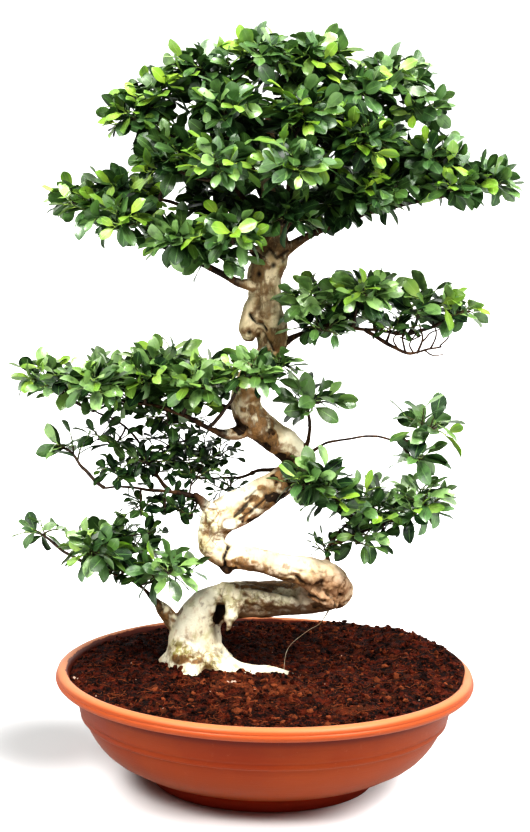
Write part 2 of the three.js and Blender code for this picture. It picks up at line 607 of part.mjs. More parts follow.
// The side shoot swings round, and the seat shifts, until the twigs are clear of the others
function planSpray([name, place, halfSize], index) {
  const [middle, reach] = [new THREE.Vector3(...place), new THREE.Vector3(...halfSize)];
  const turn = 2 * Math.PI * fraction(index, PLASTIC);
  const swings = SWINGS.map((swing) => (index % 2 ? swing : -swing));
  const choices = seatsFor(middle).flatMap((seat) => (
    swings.map((swing) => sprayTwigs(seat, middle, reach, swing, turn))
  ));
  const allClear = (twigs) => twigs.every((stations) => (
    sharpestBend(stations) < SHARPEST_BEND && isClear(bareTwig(stations, TWIG_GAP), name)
  ));
  const twigs = choices.find(allClear) ?? choices[0];
  twigs.forEach((stations) => keep(bareTwig(stations, TWIG_GAP), name));
  const flatten = THREE.MathUtils.clamp(reach.z / reach.x, FLATTENING.most, FLATTENING.least);
  return { owner: name, twigs, number: index, flatten };
}

function spray(plan) {
  const grown = plan.twigs.map((stations) => bareTwig(stations));
  return union(plan.twigs.map((stations, i) => (
    twigWithLeaves(stations, { ...plan, grown }, plan.number + 0.5 * i)
  )));
}

// The largest piece of a body, so that a scrap cut loose at a seat is dropped
function largest(body) {
  return body.decompose().reduce((best, part) => (part.volume() > best.volume() ? part : best));
}

function node(name, body, look) {
  const material = new THREE.MeshStandardMaterial({ ...look, flatShading: true });
  const mesh = new THREE.Mesh(geometryOf(body), material);
  mesh.name = name;
  return mesh;
}

const wood = trunk(0);
const woodWithGap = trunk(SEAT_GAP);
const ground = soil(woodWithGap);

const bonsai = new THREE.Group();
bonsai.add(node("pot", pot(), clay));
bonsai.add(node("soil", ground, peat));
bonsai.add(node("trunk", wood, bark));
const plans = SPRAYS.map(planSpray);
keep(woodWithGap, "trunk");
keep(ground, "soil");
for (const plan of plans) {
  const body = largest(spray(plan).subtract(woodWithGap));
  bonsai.add(node(`spray_${plan.owner}`, body, foliage));
}

export default bonsai;
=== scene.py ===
import math
from types import SimpleNamespace

import bpy
import numpy as np
from mathutils import Matrix, Vector


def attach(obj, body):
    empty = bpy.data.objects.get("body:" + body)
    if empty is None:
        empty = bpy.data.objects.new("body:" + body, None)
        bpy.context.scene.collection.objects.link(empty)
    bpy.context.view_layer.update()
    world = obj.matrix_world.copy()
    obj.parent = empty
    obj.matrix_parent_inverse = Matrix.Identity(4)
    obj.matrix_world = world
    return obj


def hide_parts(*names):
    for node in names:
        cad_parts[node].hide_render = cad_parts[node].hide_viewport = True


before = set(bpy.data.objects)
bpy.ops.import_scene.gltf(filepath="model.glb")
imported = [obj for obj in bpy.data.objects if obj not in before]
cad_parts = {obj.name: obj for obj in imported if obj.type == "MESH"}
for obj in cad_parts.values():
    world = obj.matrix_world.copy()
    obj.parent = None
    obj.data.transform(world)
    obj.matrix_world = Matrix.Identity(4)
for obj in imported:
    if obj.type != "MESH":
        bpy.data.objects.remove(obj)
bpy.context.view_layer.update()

MM = 0.001
UP = np.array([0.0, 0.0, 1.0])
TURN = 2 * math.pi
GOLDEN = math.pi * (3 - math.sqrt(5))


# Centrelines of the wood, as in the part's source: x, y, z and radius
TRUNK_LINE = [
    (-76, 30, 84, 30), (-76, 30, 100, 34), (-75, 30, 116, 34), (-78, 30, 137, 30.1),
    (-77, 30, 158, 27.4), (-67, 31, 175, 24.0), (-50, 33, 185, 22.0), (-23, 35, 189, 20.2),
    (4, 35, 191, 19.7), (36, 32, 193, 19.1), (62, 21, 199, 19.5), (71, 7, 210, 19.4),
    (63, -7, 224, 18.2), (39, -14, 233, 16.5), (14, -16, 238, 14.4), (-13, -14, 244, 13.3),
    (-37, -12, 246, 12.8), (-55, -10, 252, 14.4), (-60, -8, 265, 14.4), (-56, -4, 281, 17.1),
    (-44, 0, 293, 17.1), (-26, 5, 302, 16.6), (-7, 10, 313, 15), (12, 15, 323, 14.5),
    (26, 18, 335, 14), (29, 18, 348, 14.5), (20, 14, 361, 15), (5, 10, 372, 15.5),
    (-10, 6, 384, 16), (-23, 4, 397, 15.9), (-27, 4, 413, 15.4), (-22, 5, 431, 14.9),
    (-11, 6, 448, 13.8), (-1, 6, 465, 14.3), (0, 6, 481, 16.4), (-3, 5, 498, 18.4),
    (-6, 5, 514, 18.4), (-8, 5, 530, 18.4), (-9, 5, 546, 18.9), (-3, 5, 562, 18.9),
    (1, 5, 578, 16.8), (-1, 3, 596, 12.6), (-5, 0, 620, 9.4), (-8, -2, 646, 7.3),
    (-4, 0, 677, 5.7), (-9, 0, 708, 4.2),
]

ROOTS = [
    [(-58, 20, 130, 16), (-36, 7, 122, 8.6), (-16, 1, 118.5, 6.4), (4, 1, 118, 6.4), (22, -5, 115.5, 5.2),
     (36, -7, 111, 4)],
    [(-76, 14, 130, 16), (-79, -4, 118, 12), (-83, -22, 106, 7)],
    [(-94, 32, 128, 15), (-106, 34, 116, 10), (-122, 38, 104, 5)],
    [(-72, 48, 132, 15), (-66, 72, 119, 9), (-58, 94, 106, 4)],
    [(-56, 42, 124, 11), (-30, 60, 110, 5), (-2, 74, 102, 3)],
]

LUMPS = ("hanging_lump", "bend_lump", "spur", "knob")
LEAFLESS = LUMPS + ("aerial_root",)
LIMBS = {
    "hanging_lump": [(-36, 16, 197, 12), (-36, 11, 186, 10.5), (-38, 6, 175, 9), (-43, 4, 162, 5)],
    "bend_lump": [(50, -14, 212, 9), (62, -19, 204, 8), (72, -15, 197, 6)],
    "spur": [(-56, -10, 252, 10), (-48, -14, 244, 7.5), (-41, -17, 232, 4)],
    "knob": [(-14, 3, 526, 10), (-20, 0, 506, 11.4), (-24, -3, 489, 11.2), (-25, -4, 481, 7)],
    "low_left": [(-90, 28, 150, 9), (-109, 24, 174, 7), (-119, 20, 187, 6), (-129, 10, 201, 4),
                 (-139, 4, 210, 3.2), (-156, 0, 219, 2.8), (-176, -5, 226, 2.4)],
    "middle_left": [(-58, -4, 292, 10), (-79, -8, 309, 7), (-105, -8, 314, 4.2),
                    (-148, 0, 316, 3), (-176, 0, 316, 2.5)],
    "middle_back": [(15, 24, 336, 6), (-8, 38, 332, 4.6), (-37, 42, 321, 4), (-84, 43, 321, 3)],
    "left_pad": [(-22, 4, 384, 10), (-41, -8, 378, 7.5), (-65, -22, 386, 6), (-92, -24, 401, 4.6),
                 (-138, -15, 411, 3.6), (-180, -8, 412, 2.8)],
    "left_pad_back": [(-24, 8, 402, 7), (-52, 24, 404, 4.6), (-92, 32, 412, 3.4),
                      (-130, 30, 414, 2.6)],
    "left_under": [(-106, -6, 315, 4), (-124, 8, 336, 3.6), (-141, 14, 366, 3.2),
                   (-160, 12, 384, 2.8), (-188, 4, 398, 2.4)],
    "right_pad": [(4, 8, 468, 8), (29, 0, 485, 5.4), (60, -7, 496, 4.4), (98, -6, 492, 3.6),
                  (145, 0, 488, 2.8)],
    "right_twig_upper": [(27, 16, 350, 6), (40, 10, 366, 3.6), (42, 6, 386, 2.6)],
    "right_twig_far": [(26, 17, 344, 6), (59, 12, 366, 3.2), (106, 2, 377, 2.8),
                       (138, -2, 374, 2.4)],
    "low_right": [(66, -2, 222, 10), (64, -4, 248, 4.8), (72, -9, 270, 4), (95, -10, 296, 3)],
    "low_right_outer": [(70, -8, 262, 4), (96, -8, 272, 3.4), (128, -6, 288, 2.6)],
    "crown_left_low": [(-8, 2, 536, 12), (-35, -12, 539, 7.5), (-54, -20, 549, 6.5),
                       (-102, -30, 573, 4.6), (-160, -30, 596, 3)],
    "crown_left_middle": [(-6, 2, 556, 9), (-36, 10, 587, 5.5), (-68, 15, 607, 4.4),
                          (-121, 20, 622, 2.8)],
    "crown_right_low": [(2, 3, 566, 11), (32, -8, 587, 7), (59, -10, 600, 6), (99, -10, 615, 5),
                        (149, -8, 628, 4), (187, -5, 636, 3)],
    "crown_front_low": [(-6, 0, 556, 8), (-25, -35, 576, 4.5), (-40, -62, 588, 3)],
    "crown_top_left": [(-4, 0, 606, 6), (-25, -4, 661, 4), (-46, -6, 709, 3), (-65, -5, 735, 2.4)],
    "crown_top_right": [(-6, -1, 632, 5), (16, 0, 683, 3.6), (29, 2, 729, 2.6)],
    "crown_right_high": [(0, 2, 586, 8), (26, -5, 616, 5), (57, -8, 648, 4), (85, -4, 689, 3.2),
                         (105, 0, 719, 2.4)],
    "crown_back": [(-2, 5, 572, 8), (-9, 50, 599, 4.6), (0, 92, 631, 3)],
    "crown_front_middle": [(-3, 0, 598, 6), (9, -50, 633, 4), (14, -88, 650, 2.8)],
    "crown_back_left": [(-4, 4, 582, 7), (-33, 55, 613, 4), (-58, 90, 626, 2.8)],
    "crown_back_right": [(0, 4, 592, 7), (36, 50, 613, 4), (71, 84, 622, 2.8)],
    "crown_shoulder_left": [(-3, 2, 592, 6), (-49, -6, 647, 4), (-98, -8, 684, 3.2),
                            (-127, -8, 696, 2.4)],
    "crown_front_left": [(-4, 0, 580, 6), (-28, -50, 623, 4), (-48, -86, 648, 2.8)],
    "aerial_root": [(72, 12, 192, 3), (59, 10, 170, 1.3), (45, 8, 161, 1.1), (24, 5, 141, 1.1),
                    (20, 4, 108, 1.1)],
}

# Leafy sprays: name, middle, half-size, shoots, leaves a shoot, share of young tips
SPRAYS = [
    ("crown_far_left", (-202, 0, 618), (27, 28, 15), 11, 7, 0.45),
    ("crown_left_front", (-154, -48, 602), (27, 28, 16), 12, 7, 0.30),
    ("crown_left_back", (-158, 52, 620), (30, 30, 19), 13, 7, 0.25),
    ("crown_low_front_left", (-96, -62, 586), (26, 28, 16), 13, 7, 0.35),
    ("crown_low_front", (-42, -88, 594), (26, 26, 20), 14, 7, 0.45),
    ("crown_shoulder_left", (-142, -8, 708), (25, 28, 21), 13, 7, 0.55),
    ("crown_middle_left_front", (-106, -62, 666), (26, 30, 22), 14, 7, 0.30),
    ("crown_middle_left_back", (-112, 68, 672), (30, 32, 24), 14, 7, 0.20),
    ("crown_front_left", (-54, -108, 664), (26, 30, 22), 14, 7, 0.30),
    ("crown_top_left", (-80, -4, 757), (27, 30, 19), 13, 7, 0.45),
    ("crown_top_front", (-20, -28, 771), (27, 28, 18), 13, 7, 0.45),
    ("crown_top_right", (42, 4, 772), (29, 30, 19), 13, 7, 0.40),
    ("crown_far_top_right", (120, 4, 750), (27, 28, 19), 13, 7, 0.40),
    ("crown_upper_front_left", (-50, -76, 716), (26, 28, 22), 14, 7, 0.30),
    ("crown_upper_front_right", (28, -72, 718), (28, 30, 22), 14, 7, 0.30),
    ("crown_upper_back_left", (-56, 70, 718), (30, 30, 24), 14, 7, 0.20),
    ("crown_upper_back_right", (46, 76, 718), (30, 32, 24), 14, 7, 0.20),
    ("crown_front_right", (16, -116, 664), (28, 30, 22), 14, 7, 0.25),
    ("crown_middle_right_front", (86, -62, 688), (28, 30, 22), 14, 7, 0.25),
    ("crown_middle_right_back", (102, 62, 682), (30, 32, 24), 14, 7, 0.20),
    ("crown_low_right_front", (88, -60, 634), (28, 28, 14), 13, 7, 0.20),
    ("crown_right_front", (158, -28, 672), (27, 28, 18), 13, 7, 0.30),
    ("crown_right_back", (162, 42, 652), (28, 30, 17), 13, 7, 0.20),
    ("crown_far_right", (218, 0, 648), (23, 26, 15), 11, 7, 0.35),
    ("crown_back_left", (-66, 112, 640), (31, 30, 22), 13, 7, 0.20),
    ("crown_back", (10, 124, 658), (31, 30, 24), 13, 7, 0.25),
    ("crown_back_right", (82, 104, 634), (31, 30, 22), 13, 7, 0.20),
    ("left_pad_tip", (-238, -4, 432), (25, 28, 17), 11, 6, 0.40),
    ("left_pad_front", (-180, -34, 430), (27, 28, 15), 13, 6, 0.35),
    ("left_pad_back", (-186, 36, 428), (28, 30, 15), 12, 6, 0.20),
    ("left_pad_middle", (-128, -14, 440), (25, 28, 19), 13, 6, 0.35),
    ("left_pad_inner_front", (-76, -46, 436), (23, 26, 17), 12, 6, 0.45),
    ("left_pad_inner_back", (-76, 42, 434), (28, 30, 17), 10, 6, 0.20),
    ("left_pad_at_trunk", (-24, -50, 448), (23, 22, 19), 9, 6, 0.35),
    ("middle_left_tip", (-216, 0, 358), (17, 20, 11), 4, 4, 0.60),
    ("middle_left_front", (-160, -6, 334), (21, 24, 15), 7, 4, 0.10),
    ("middle_left_back", (-96, 52, 336), (31, 30, 20), 9, 4, 0.05),
    ("middle_left_low", (-136, -6, 292), (17, 20, 13), 5, 4, 0.05),
    ("low_left_tip", (-242, 0, 266), (15, 18, 11), 4, 4, 0.10),
    ("low_left_front", (-182, -22, 250), (25, 26, 15), 11, 6, 0.35),
    ("low_left_back", (-174, 34, 246), (28, 28, 15), 9, 5, 0.15),
    ("low_left_inner", (-108, -22, 230), (26, 24, 15), 10, 5, 0.20),
    ("right_pad_inner", (40, -14, 520), (21, 26, 17), 9, 6, 0.25),
    ("right_pad_front", (92, -26, 530), (27, 28, 15), 13, 6, 0.30),
    ("right_pad_back", (106, 36, 522), (28, 30, 15), 9, 6, 0.15),
    ("right_pad_outer", (164, -2, 518), (25, 26, 13), 10, 5, 0.25),
    ("right_sprig_upper", (44, 4, 412), (21, 24, 15), 7, 5, 0.15),
    ("right_sprig_far", (164, -2, 388), (26, 22, 26), 7, 4, 0.15),
    ("bend_shoot", (50, -30, 336), (21, 20, 13), 7, 5, 0.10),
    ("low_right_inner", (70, -18, 314), (23, 26, 21), 7, 6, 0.15),
    ("low_right_under", (100, -8, 270), (19, 24, 19), 7, 5, 0.10),
    ("low_right_back", (112, 38, 296), (26, 28, 20), 8, 5, 0.10),
    ("low_right_outer", (160, -6, 304), (23, 26, 26), 12, 6, 0.20),
]

# More of the same between them: name, middle, half-size, shoots, leaves, young tips, leaf scale
FILLS = [
    ("crown_fill_right_low", (60, -30, 622), (32, 24, 16), 12, 6, 0.10, 0.95),
    ("crown_fill_right_outer", (118, -36, 642), (30, 26, 15), 12, 6, 0.15, 0.95),
    ("crown_fill_right_end", (178, -34, 642), (24, 24, 12), 8, 6, 0.25, 0.95),
    ("crown_fill_over_trunk", (8, -62, 612), (30, 26, 18), 12, 6, 0.15, 0.95),
    ("crown_fill_trunk_back", (20, 48, 614), (32, 30, 18), 11, 6, 0.10, 0.95),
    ("crown_fill_left_low", (-62, -42, 570), (28, 24, 15), 10, 6, 0.20, 0.95),
    ("crown_fill_left_inner", (-60, -20, 622), (30, 30, 22), 12, 6, 0.10, 0.95),
    ("crown_fill_core_left", (-44, -40, 690), (32, 30, 24), 12, 6, 0.10, 0.95),
    ("crown_fill_core_right", (46, -30, 684), (34, 32, 24), 12, 6, 0.10, 0.95),
    ("crown_fill_core_back", (0, 44, 690), (40, 30, 26), 12, 6, 0.10, 0.95),
    ("crown_fill_top", (8, 30, 752), (34, 28, 18), 10, 6, 0.30, 0.95),
    ("crown_fill_right_shoulder", (92, -18, 738), (28, 26, 18), 10, 6, 0.35, 0.95),
    ("crown_fill_left_outer", (-160, 0, 628), (28, 28, 12), 9, 6, 0.40, 0.95),
    ("left_pad_fill", (-150, 4, 410), (30, 26, 14), 9, 5, 0.15, 0.9),
    ("left_pad_fill_inner", (-92, -6, 416), (30, 26, 16), 9, 5, 0.20, 0.9),
    ("left_pad_over_trunk", (2, -42, 450), (22, 14, 20), 8, 5, 0.15, 0.85),
    ("right_sprig_low", (158, -6, 356), (14, 14, 10), 4, 4, 0.1, 1.05),
    ("low_right_base", (62, -14, 258), (14, 12, 14), 5, 4, 0.0, 0.6),
    ("low_right_front", (38, -30, 330), (24, 16, 16), 7, 5, 0.1, 0.9),
    ("left_pad_fill_outer", (-206, 10, 418), (26, 24, 12), 8, 5, 0.25, 0.88),
    ("left_pad_fill_upper", (-112, 12, 452), (34, 26, 12), 9, 5, 0.35, 0.88),
    ("left_pad_under", (-108, 0, 392), (34, 22, 14), 10, 5, 0.05, 0.66),
    ("low_left_fill", (-148, 6, 246), (30, 24, 16), 9, 5, 0.1, 0.88),
    ("right_pad_fill", (66, 6, 506), (32, 24, 16), 9, 5, 0.15, 0.82),
    ("right_pad_under", (52, -22, 494), (26, 18, 12), 7, 4, 0.0, 0.8),
    ("low_right_fill", (100, -4, 300), (28, 26, 20), 9, 5, 0.15, 0.90),
    ("low_right_net", (128, 0, 284), (26, 22, 14), 7, 4, 0.0, 0.62),
    ("middle_left_net_inner", (-78, 6, 334), (30, 20, 22), 9, 5, 0.0, 0.55),
    ("middle_left_net_mid", (-128, 10, 336), (30, 22, 20), 9, 5, 0.0, 0.58),
    ("middle_left_net_under", (-92, -4, 294), (26, 18, 14), 7, 4, 0.0, 0.55),
    ("middle_left_net_high", (-104, 14, 366), (34, 24, 20), 9, 5, 0.0, 0.60),
    ("middle_left_net_back", (-62, 40, 350), (30, 20, 24), 8, 5, 0.0, 0.55),
    ("middle_left_net_trunk", (-44, 36, 312), (28, 18, 16), 6, 4, 0.0, 0.50),
    ("middle_left_net_low", (-112, 6, 300), (30, 20, 18), 7, 4, 0.0, 0.55),
    ("middle_left_net_far", (-172, 4, 368), (26, 20, 16), 6, 4, 0.15, 0.70),
    ("low_left_net", (-140, 2, 266), (28, 20, 14), 6, 4, 0.0, 0.60),
    ("right_pad_net", (128, -18, 496), (34, 18, 13), 7, 4, 0.0, 0.60),
    ("crown_fill_left_notch", (-122, -8, 733), (22, 22, 17), 9, 6, 0.45, 0.95),
    ("crown_fill_right_notch", (150, -6, 722), (22, 22, 13), 7, 6, 0.35, 0.95),
    ("right_pad_end", (197, -4, 513), (21, 18, 9), 5, 5, 0.20, 0.82),
    ("low_left_net_under", (-150, -4, 226), (30, 18, 10), 6, 4, 0.0, 0.66),
    ("middle_left_net_front", (-130, -14, 350), (30, 14, 18), 7, 4, 0.05, 0.66),
]

# Size of a pad's leaves against the full 30 mm
LEAF_SCALES = {"crown": 0.94, "left_pad": 0.90, "middle_left_tip": 0.9, "middle_left": 0.66,
               "low_left_tip": 0.80, "low_left": 0.95, "right_sprig": 1.08, "right": 0.98, "bend": 0.95,
               "low_right": 0.97}


# Small tools
def unit(v):
    return v / np.maximum(np.linalg.norm(v, axis=-1, keepdims=True), 1e-9)


def smooth(x, low, high):
    t = np.clip((x - low) / (high - low), 0, 1)
    return t * t * (3 - 2 * t)


def lattice(i, seed):
    """A number from 0 to 1 for each whole-numbered place."""
    n = (i[..., 0] * 374761393 + i[..., 1] * 668265263 + i[..., 2] * 1274126177 + seed * 974634777)
    n &= 0xFFFFFFFF
    n = ((n ^ (n >> 13)) * 1103515245) & 0xFFFFFFFF
    n = ((n ^ (n >> 15)) * 2246822519) & 0xFFFFFFFF
    return ((n ^ (n >> 16)) & 0xFFFF) / 65535.0


def around(steps):
    """Every x, y, z step to a neighbouring place."""
    return [np.array([dx, dy, dz]) for dx in steps for dy in steps for dz in steps]


def noise(points, scale, seed=0):
    """Smooth noise between -1 and 1 at points, with features about scale across."""
    q = np.asarray(points, float) / scale
    base = np.floor(q).astype(np.int64)
    f = q - base
    f = f * f * (3 - 2 * f)
    total = 0
    for step in around((0, 1)):
        weight = np.abs(1 - step - f).prod(-1)
        total = total + weight * lattice(base + step, seed)
    return 2 * total - 1


def waves(points, rows):
    """A sum of noises, given as rows of height, scale and seed."""
    return sum(height * noise(points, scale, seed) for height, scale, seed in rows)


def wander(points, amount, scales, seeds):
    """Shifts that bend a line or a surface by noise, of its own along each axis."""
    return amount * np.stack([noise(points, scale, seed) for scale, seed in zip(scales, seeds)], -1)


def cells(points, scale, seed):
    """How far points lie from the edges of irregular cells about scale across, in cells."""
    q = np.asarray(points, float) / scale
    base = np.floor(q).astype(np.int64)
    far = 9.0
    first, second = np.full(len(q), far), np.full(len(q), far)
    for step in around((-1, 0, 1)):
        corner = base + step
        spot = corner + np.stack([lattice(corner, seed + k) for k in range(3)], -1)
        gap = np.linalg.norm(q - spot, axis=1)
        second = np.minimum(second, np.maximum(gap, first))
        first = np.minimum(first, gap)
    return second - first


def spline(rows, step):
    """Points every step along a smooth curve through rows, whose columns may be more than x, y, z."""
    rows = np.asarray(rows, float)
    if len(rows) == 2:
        count = max(2, int(np.linalg.norm(rows[1, :3] - rows[0, :3]) / step) + 1)
        t = np.linspace(0, 1, count)[:, None]
        return rows[0] * (1 - t) + rows[1] * t
    padded = np.vstack([2 * rows[0] - rows[1], rows, 2 * rows[-1] - rows[-2]])
    out = []
    for a, b, c, d in zip(padded, padded[1:], padded[2:], padded[3:]):
        count = max(1, int(round(np.linalg.norm(c[:3] - b[:3]) / step)))
        for t in np.arange(count) / count:
            out.append(0.5 * (2 * b + (c - a) * t + (2 * a - 5 * b + 4 * c - d) * t * t
                              + (3 * b - a - 3 * c + d) * t ** 3))
    return np.array(out + [rows[-1]])


def tangents(points):
    t = np.empty_like(points)
    t[1:-1] = points[2:] - points[:-2]
    t[0] = points[1] - points[0]
    t[-1] = points[-1] - points[-2]
    return unit(t)


def carried_frames(points):
    """Directions along and beside a curve that turn as little as possible along it."""
    t = tangents(points)
    steep = abs(t[0, 2]) >= 0.9
    side = unit(np.cross(t[0], np.array([1.0, 0, 0]) if steep else UP))
    sides = [side]
    for along in t[1:]:
        side = side - along * np.dot(side, along)
        side = side / np.linalg.norm(side)
        sides.append(side)
    sides = np.array(sides)
    return t, sides, np.cross(t, sides)


def ring_quads(rings, sides):
    """Faces between rings of points, each ring joined to the next."""
    start = np.arange(rings - 1)[:, None] * sides
    here = np.arange(sides)[None, :]
    after = (here + 1) % sides
    corners = [start + here, start + after, start + sides + after, start + sides + here]
    return np.stack(corners, -1).reshape(-1, 4)


def tube(points, radii, sides, ripple=None, round_ends=True):
    """A closed tube: vertices, faces, and each vertex's radius."""
    t, side, over = carried_frames(points)
    if round_ends:
        reach, girth = np.array([0.86, 0.5]) * 0.7, np.array([0.5, 0.86])
        head = points[0] - t[0] * radii[0] * reach[:, None]
        tail = points[-1] + t[-1] * radii[-1] * reach[::-1, None]
        points = np.vstack([head, points, tail])
        side = np.vstack([side[:1], side[:1], side, side[-1:], side[-1:]])
        over = np.vstack([over[:1], over[:1], over, over[-1:], over[-1:]])
        radii = np.concatenate([radii[0] * girth, radii, radii[-1] * girth[::-1]])
    count = len(points)
    angle = TURN * np.arange(sides) / sides
    r = radii[:, None] * np.ones(sides)
    if ripple is not None:
        r = r * (1 + ripple(np.arange(count) / (count - 1), angle))
    ring = side[:, None] * np.cos(angle)[None, :, None] + over[:, None] * np.sin(angle)[None, :, None]
    verts = (points[:, None] + ring * r[..., None]).reshape(-1, 3)
    ends = [tuple(range(sides - 1, -1, -1)), tuple(range((count - 1) * sides, count * sides))]
    return verts, [ring_quads(count, sides), ends], np.repeat(radii, sides)


def closed_rings(rings, first_pole, last_pole):
    """A closed skin through rings of points, from one pole on the axis to the other."""
    count, sides = rings.shape[:2]
    here = np.arange(sides)
    after = (here + 1) % sides
    last = (count - 1) * sides
    fans = [(np.full(sides, count * sides), after, here),
            (np.full(sides, count * sides + 1), last + here, last + after)]
    fans = np.vstack([np.stack(fan, -1) for fan in fans])
    return np.vstack([rings.reshape(-1, 3), [first_pole, last_pole]]), [ring_quads(count, sides), fans]


def link(name, data):
    """An object of the scene."""
    made = bpy.data.objects.new(name, data)
    bpy.context.scene.collection.objects.link(made)
    return made


def write_values(mesh, values):
    """Per-vertex numbers, which the materials read."""
    for name, numbers in values.items():
        attribute = mesh.attributes.new(name, "FLOAT", "POINT")
        attribute.data.foreach_set("value", numbers.astype(np.float32))


class Shape:
    """Vertices, faces and per-vertex values gathered for one mesh."""

    def __init__(self):
        self.verts, self.loops, self.sizes, self.materials = [], [], [], []
        self.values, self.uvs, self.count = {}, [], 0

    def add(self, verts, faces, material=0, uv=None, **values):
        verts = np.asarray(verts, float).reshape(-1, 3)
        for group in faces:
            for rows in [group] if isinstance(group, np.ndarray) else [np.array([face]) for face in group]:
                self.loops.append((rows + self.count).ravel())
                self.sizes.append(np.full(len(rows), rows.shape[1]))
                self.materials.append(np.full(len(rows), material))
        self.verts.append(verts)
        for name in set(values) | set(self.values):
            given = np.asarray(values.get(name, 0.0), float)
            if name not in self.values:
                self.values[name] = [np.zeros(self.count)]
            self.values[name].append(np.broadcast_to(given, (len(verts),)))
        self.uvs.append(np.zeros((len(verts), 2)) if uv is None else uv)
        self.count += len(verts)

    def build(self, name, materials, smooth_shading=True, sharp=None):
        verts = np.vstack(self.verts) * MM
        loops = np.concatenate(self.loops).astype(np.int32)
        sizes = np.concatenate(self.sizes).astype(np.int32)
        starts = np.concatenate([[0], np.cumsum(sizes)[:-1]]).astype(np.int32)
        mesh = bpy.data.meshes.new(name)
        mesh.vertices.add(len(verts))
        mesh.vertices.foreach_set("co", verts.astype(np.float32).ravel())
        mesh.loops.add(len(loops))
        mesh.loops.foreach_set("vertex_index", loops)
        mesh.polygons.add(len(sizes))
        mesh.polygons.foreach_set("loop_start", starts)
        mesh.polygons.foreach_set("material_index", np.concatenate(self.materials).astype(np.int32))
        mesh.polygons.foreach_set("use_smooth", np.full(len(sizes), smooth_shading))
        mesh.update(calc_edges=True)
        layer = mesh.uv_layers.new(name="UVMap")
        layer.data.foreach_set("uv", np.vstack(self.uvs)[loops].astype(np.float32).ravel())
        write_values(mesh, {key: np.concatenate(parts) for key, parts in self.values.items()})
        for material in materials:
            mesh.materials.append(material)
        if sharp is not None:
            mesh.set_sharp_from_angle(angle=math.radians(sharp))
        mesh.validate()
        return link(name, mesh)


# Materials
class Nodes:
    """A short way to write a material's node tree."""

    def __init__(self, name):
        self.material = bpy.data.materials.new(name)
        self.material.use_nodes = True
        self.tree = self.material.node_tree
        self.shader = self.tree.nodes["Principled BSDF"]

    def make(self, kind, **settings):
        made = self.tree.nodes.new(kind)
        for key, value in settings.items():
            setattr(made, key, value)
        return made

    def put(self, socket, value):
        if isinstance(value, bpy.types.NodeSocket):
            self.tree.links.new(value, socket)
        elif isinstance(value, (tuple, list)) and len(value) == 3 and socket.type == "RGBA":
            socket.default_value = (*value, 1)
        else:
            socket.default_value = value

    def fill(self, node, **sockets):
        """Values or links for a node's sockets, by the sockets' names."""
        for key, value in sockets.items():
            self.put(node.inputs[key.replace("_", " ")], value)
        return node

    def set(self, **sockets):
        self.fill(self.shader, **sockets)

    def value(self, name):
        return self.make("ShaderNodeAttribute", attribute_name=name).outputs["Fac"]

    def place(self):
        return self.make("ShaderNodeTexCoord").outputs["Object"]

    def part(self, vector, axis):
        """One component of a vector."""
        split = self.make("ShaderNodeSeparateXYZ")
        self.put(split.inputs[0], vector)
        return split.outputs[axis]

    def noise(self, scale, detail=4.0, roughness=0.55, stretch=(1, 1, 1), seed=0.0):
        moved = self.make("ShaderNodeMapping")
        self.fill(moved, Vector=self.place(), Scale=stretch, Location=(seed, seed * 0.7, seed * 1.3))
        made = self.make("ShaderNodeTexNoise")
        self.fill(made, Vector=moved.outputs[0], Scale=scale, Detail=detail, Roughness=roughness)
        return made.outputs["Fac"]

    def math(self, operation, *values, clamp=False):
        made = self.make("ShaderNodeMath", operation=operation, use_clamp=clamp)
        for socket, value in zip(made.inputs, values):
            self.put(socket, value)
        return made.outputs[0]

    def times(self, one, other):
        return self.math("MULTIPLY", one, other)

    def plus(self, one, other):
        return self.math("ADD", one, other)

    def ramp(self, value, low, high, out_low=0.0, out_high=1.0):
        made = self.make("ShaderNodeMapRange", interpolation_type="SMOOTHSTEP")
        self.fill(made, Value=value, From_Min=low, From_Max=high, To_Min=out_low, To_Max=out_high)
        return made.outputs[0]

    def mix(self, share, one, other):
        made = self.make("ShaderNodeMix", data_type="RGBA")
        self.put(made.inputs["Factor"], share)
        self.put(made.inputs[6], one)
        self.put(made.inputs[7], other)
        return made.outputs[2]

    def coats(self, colour, *rows):
        """A colour with other colours laid over it, given as rows of share and colour."""
        for share, coat in rows:
            colour = self.mix(share, colour, coat)
        return colour

    def cracks(self, scale, width):
        """1 on the edges of bark plates, 0 inside them."""
        bend = self.fill(self.make("ShaderNodeTexNoise"), Vector=self.place(), Scale=0.8 * scale)
        shift = self.make("ShaderNodeVectorMath", operation="MULTIPLY_ADD")
        for socket, value in zip(shift.inputs, (bend.outputs["Color"], (0.9 / scale,) * 3, self.place())):
            self.put(socket, value)
        plates = self.make("ShaderNodeTexVoronoi", feature="DISTANCE_TO_EDGE")
        self.fill(plates, Vector=shift.outputs[0], Scale=scale)
        return self.ramp(plates.outputs["Distance"], width, 0.2 * width)

    def relief(self, height, strength, distance):
        """Fine relief on the surface, from a height."""
        made = self.fill(self.make("ShaderNodeBump"), Height=height, Strength=strength, Distance=distance)
        self.set(Normal=made.outputs["Normal"])


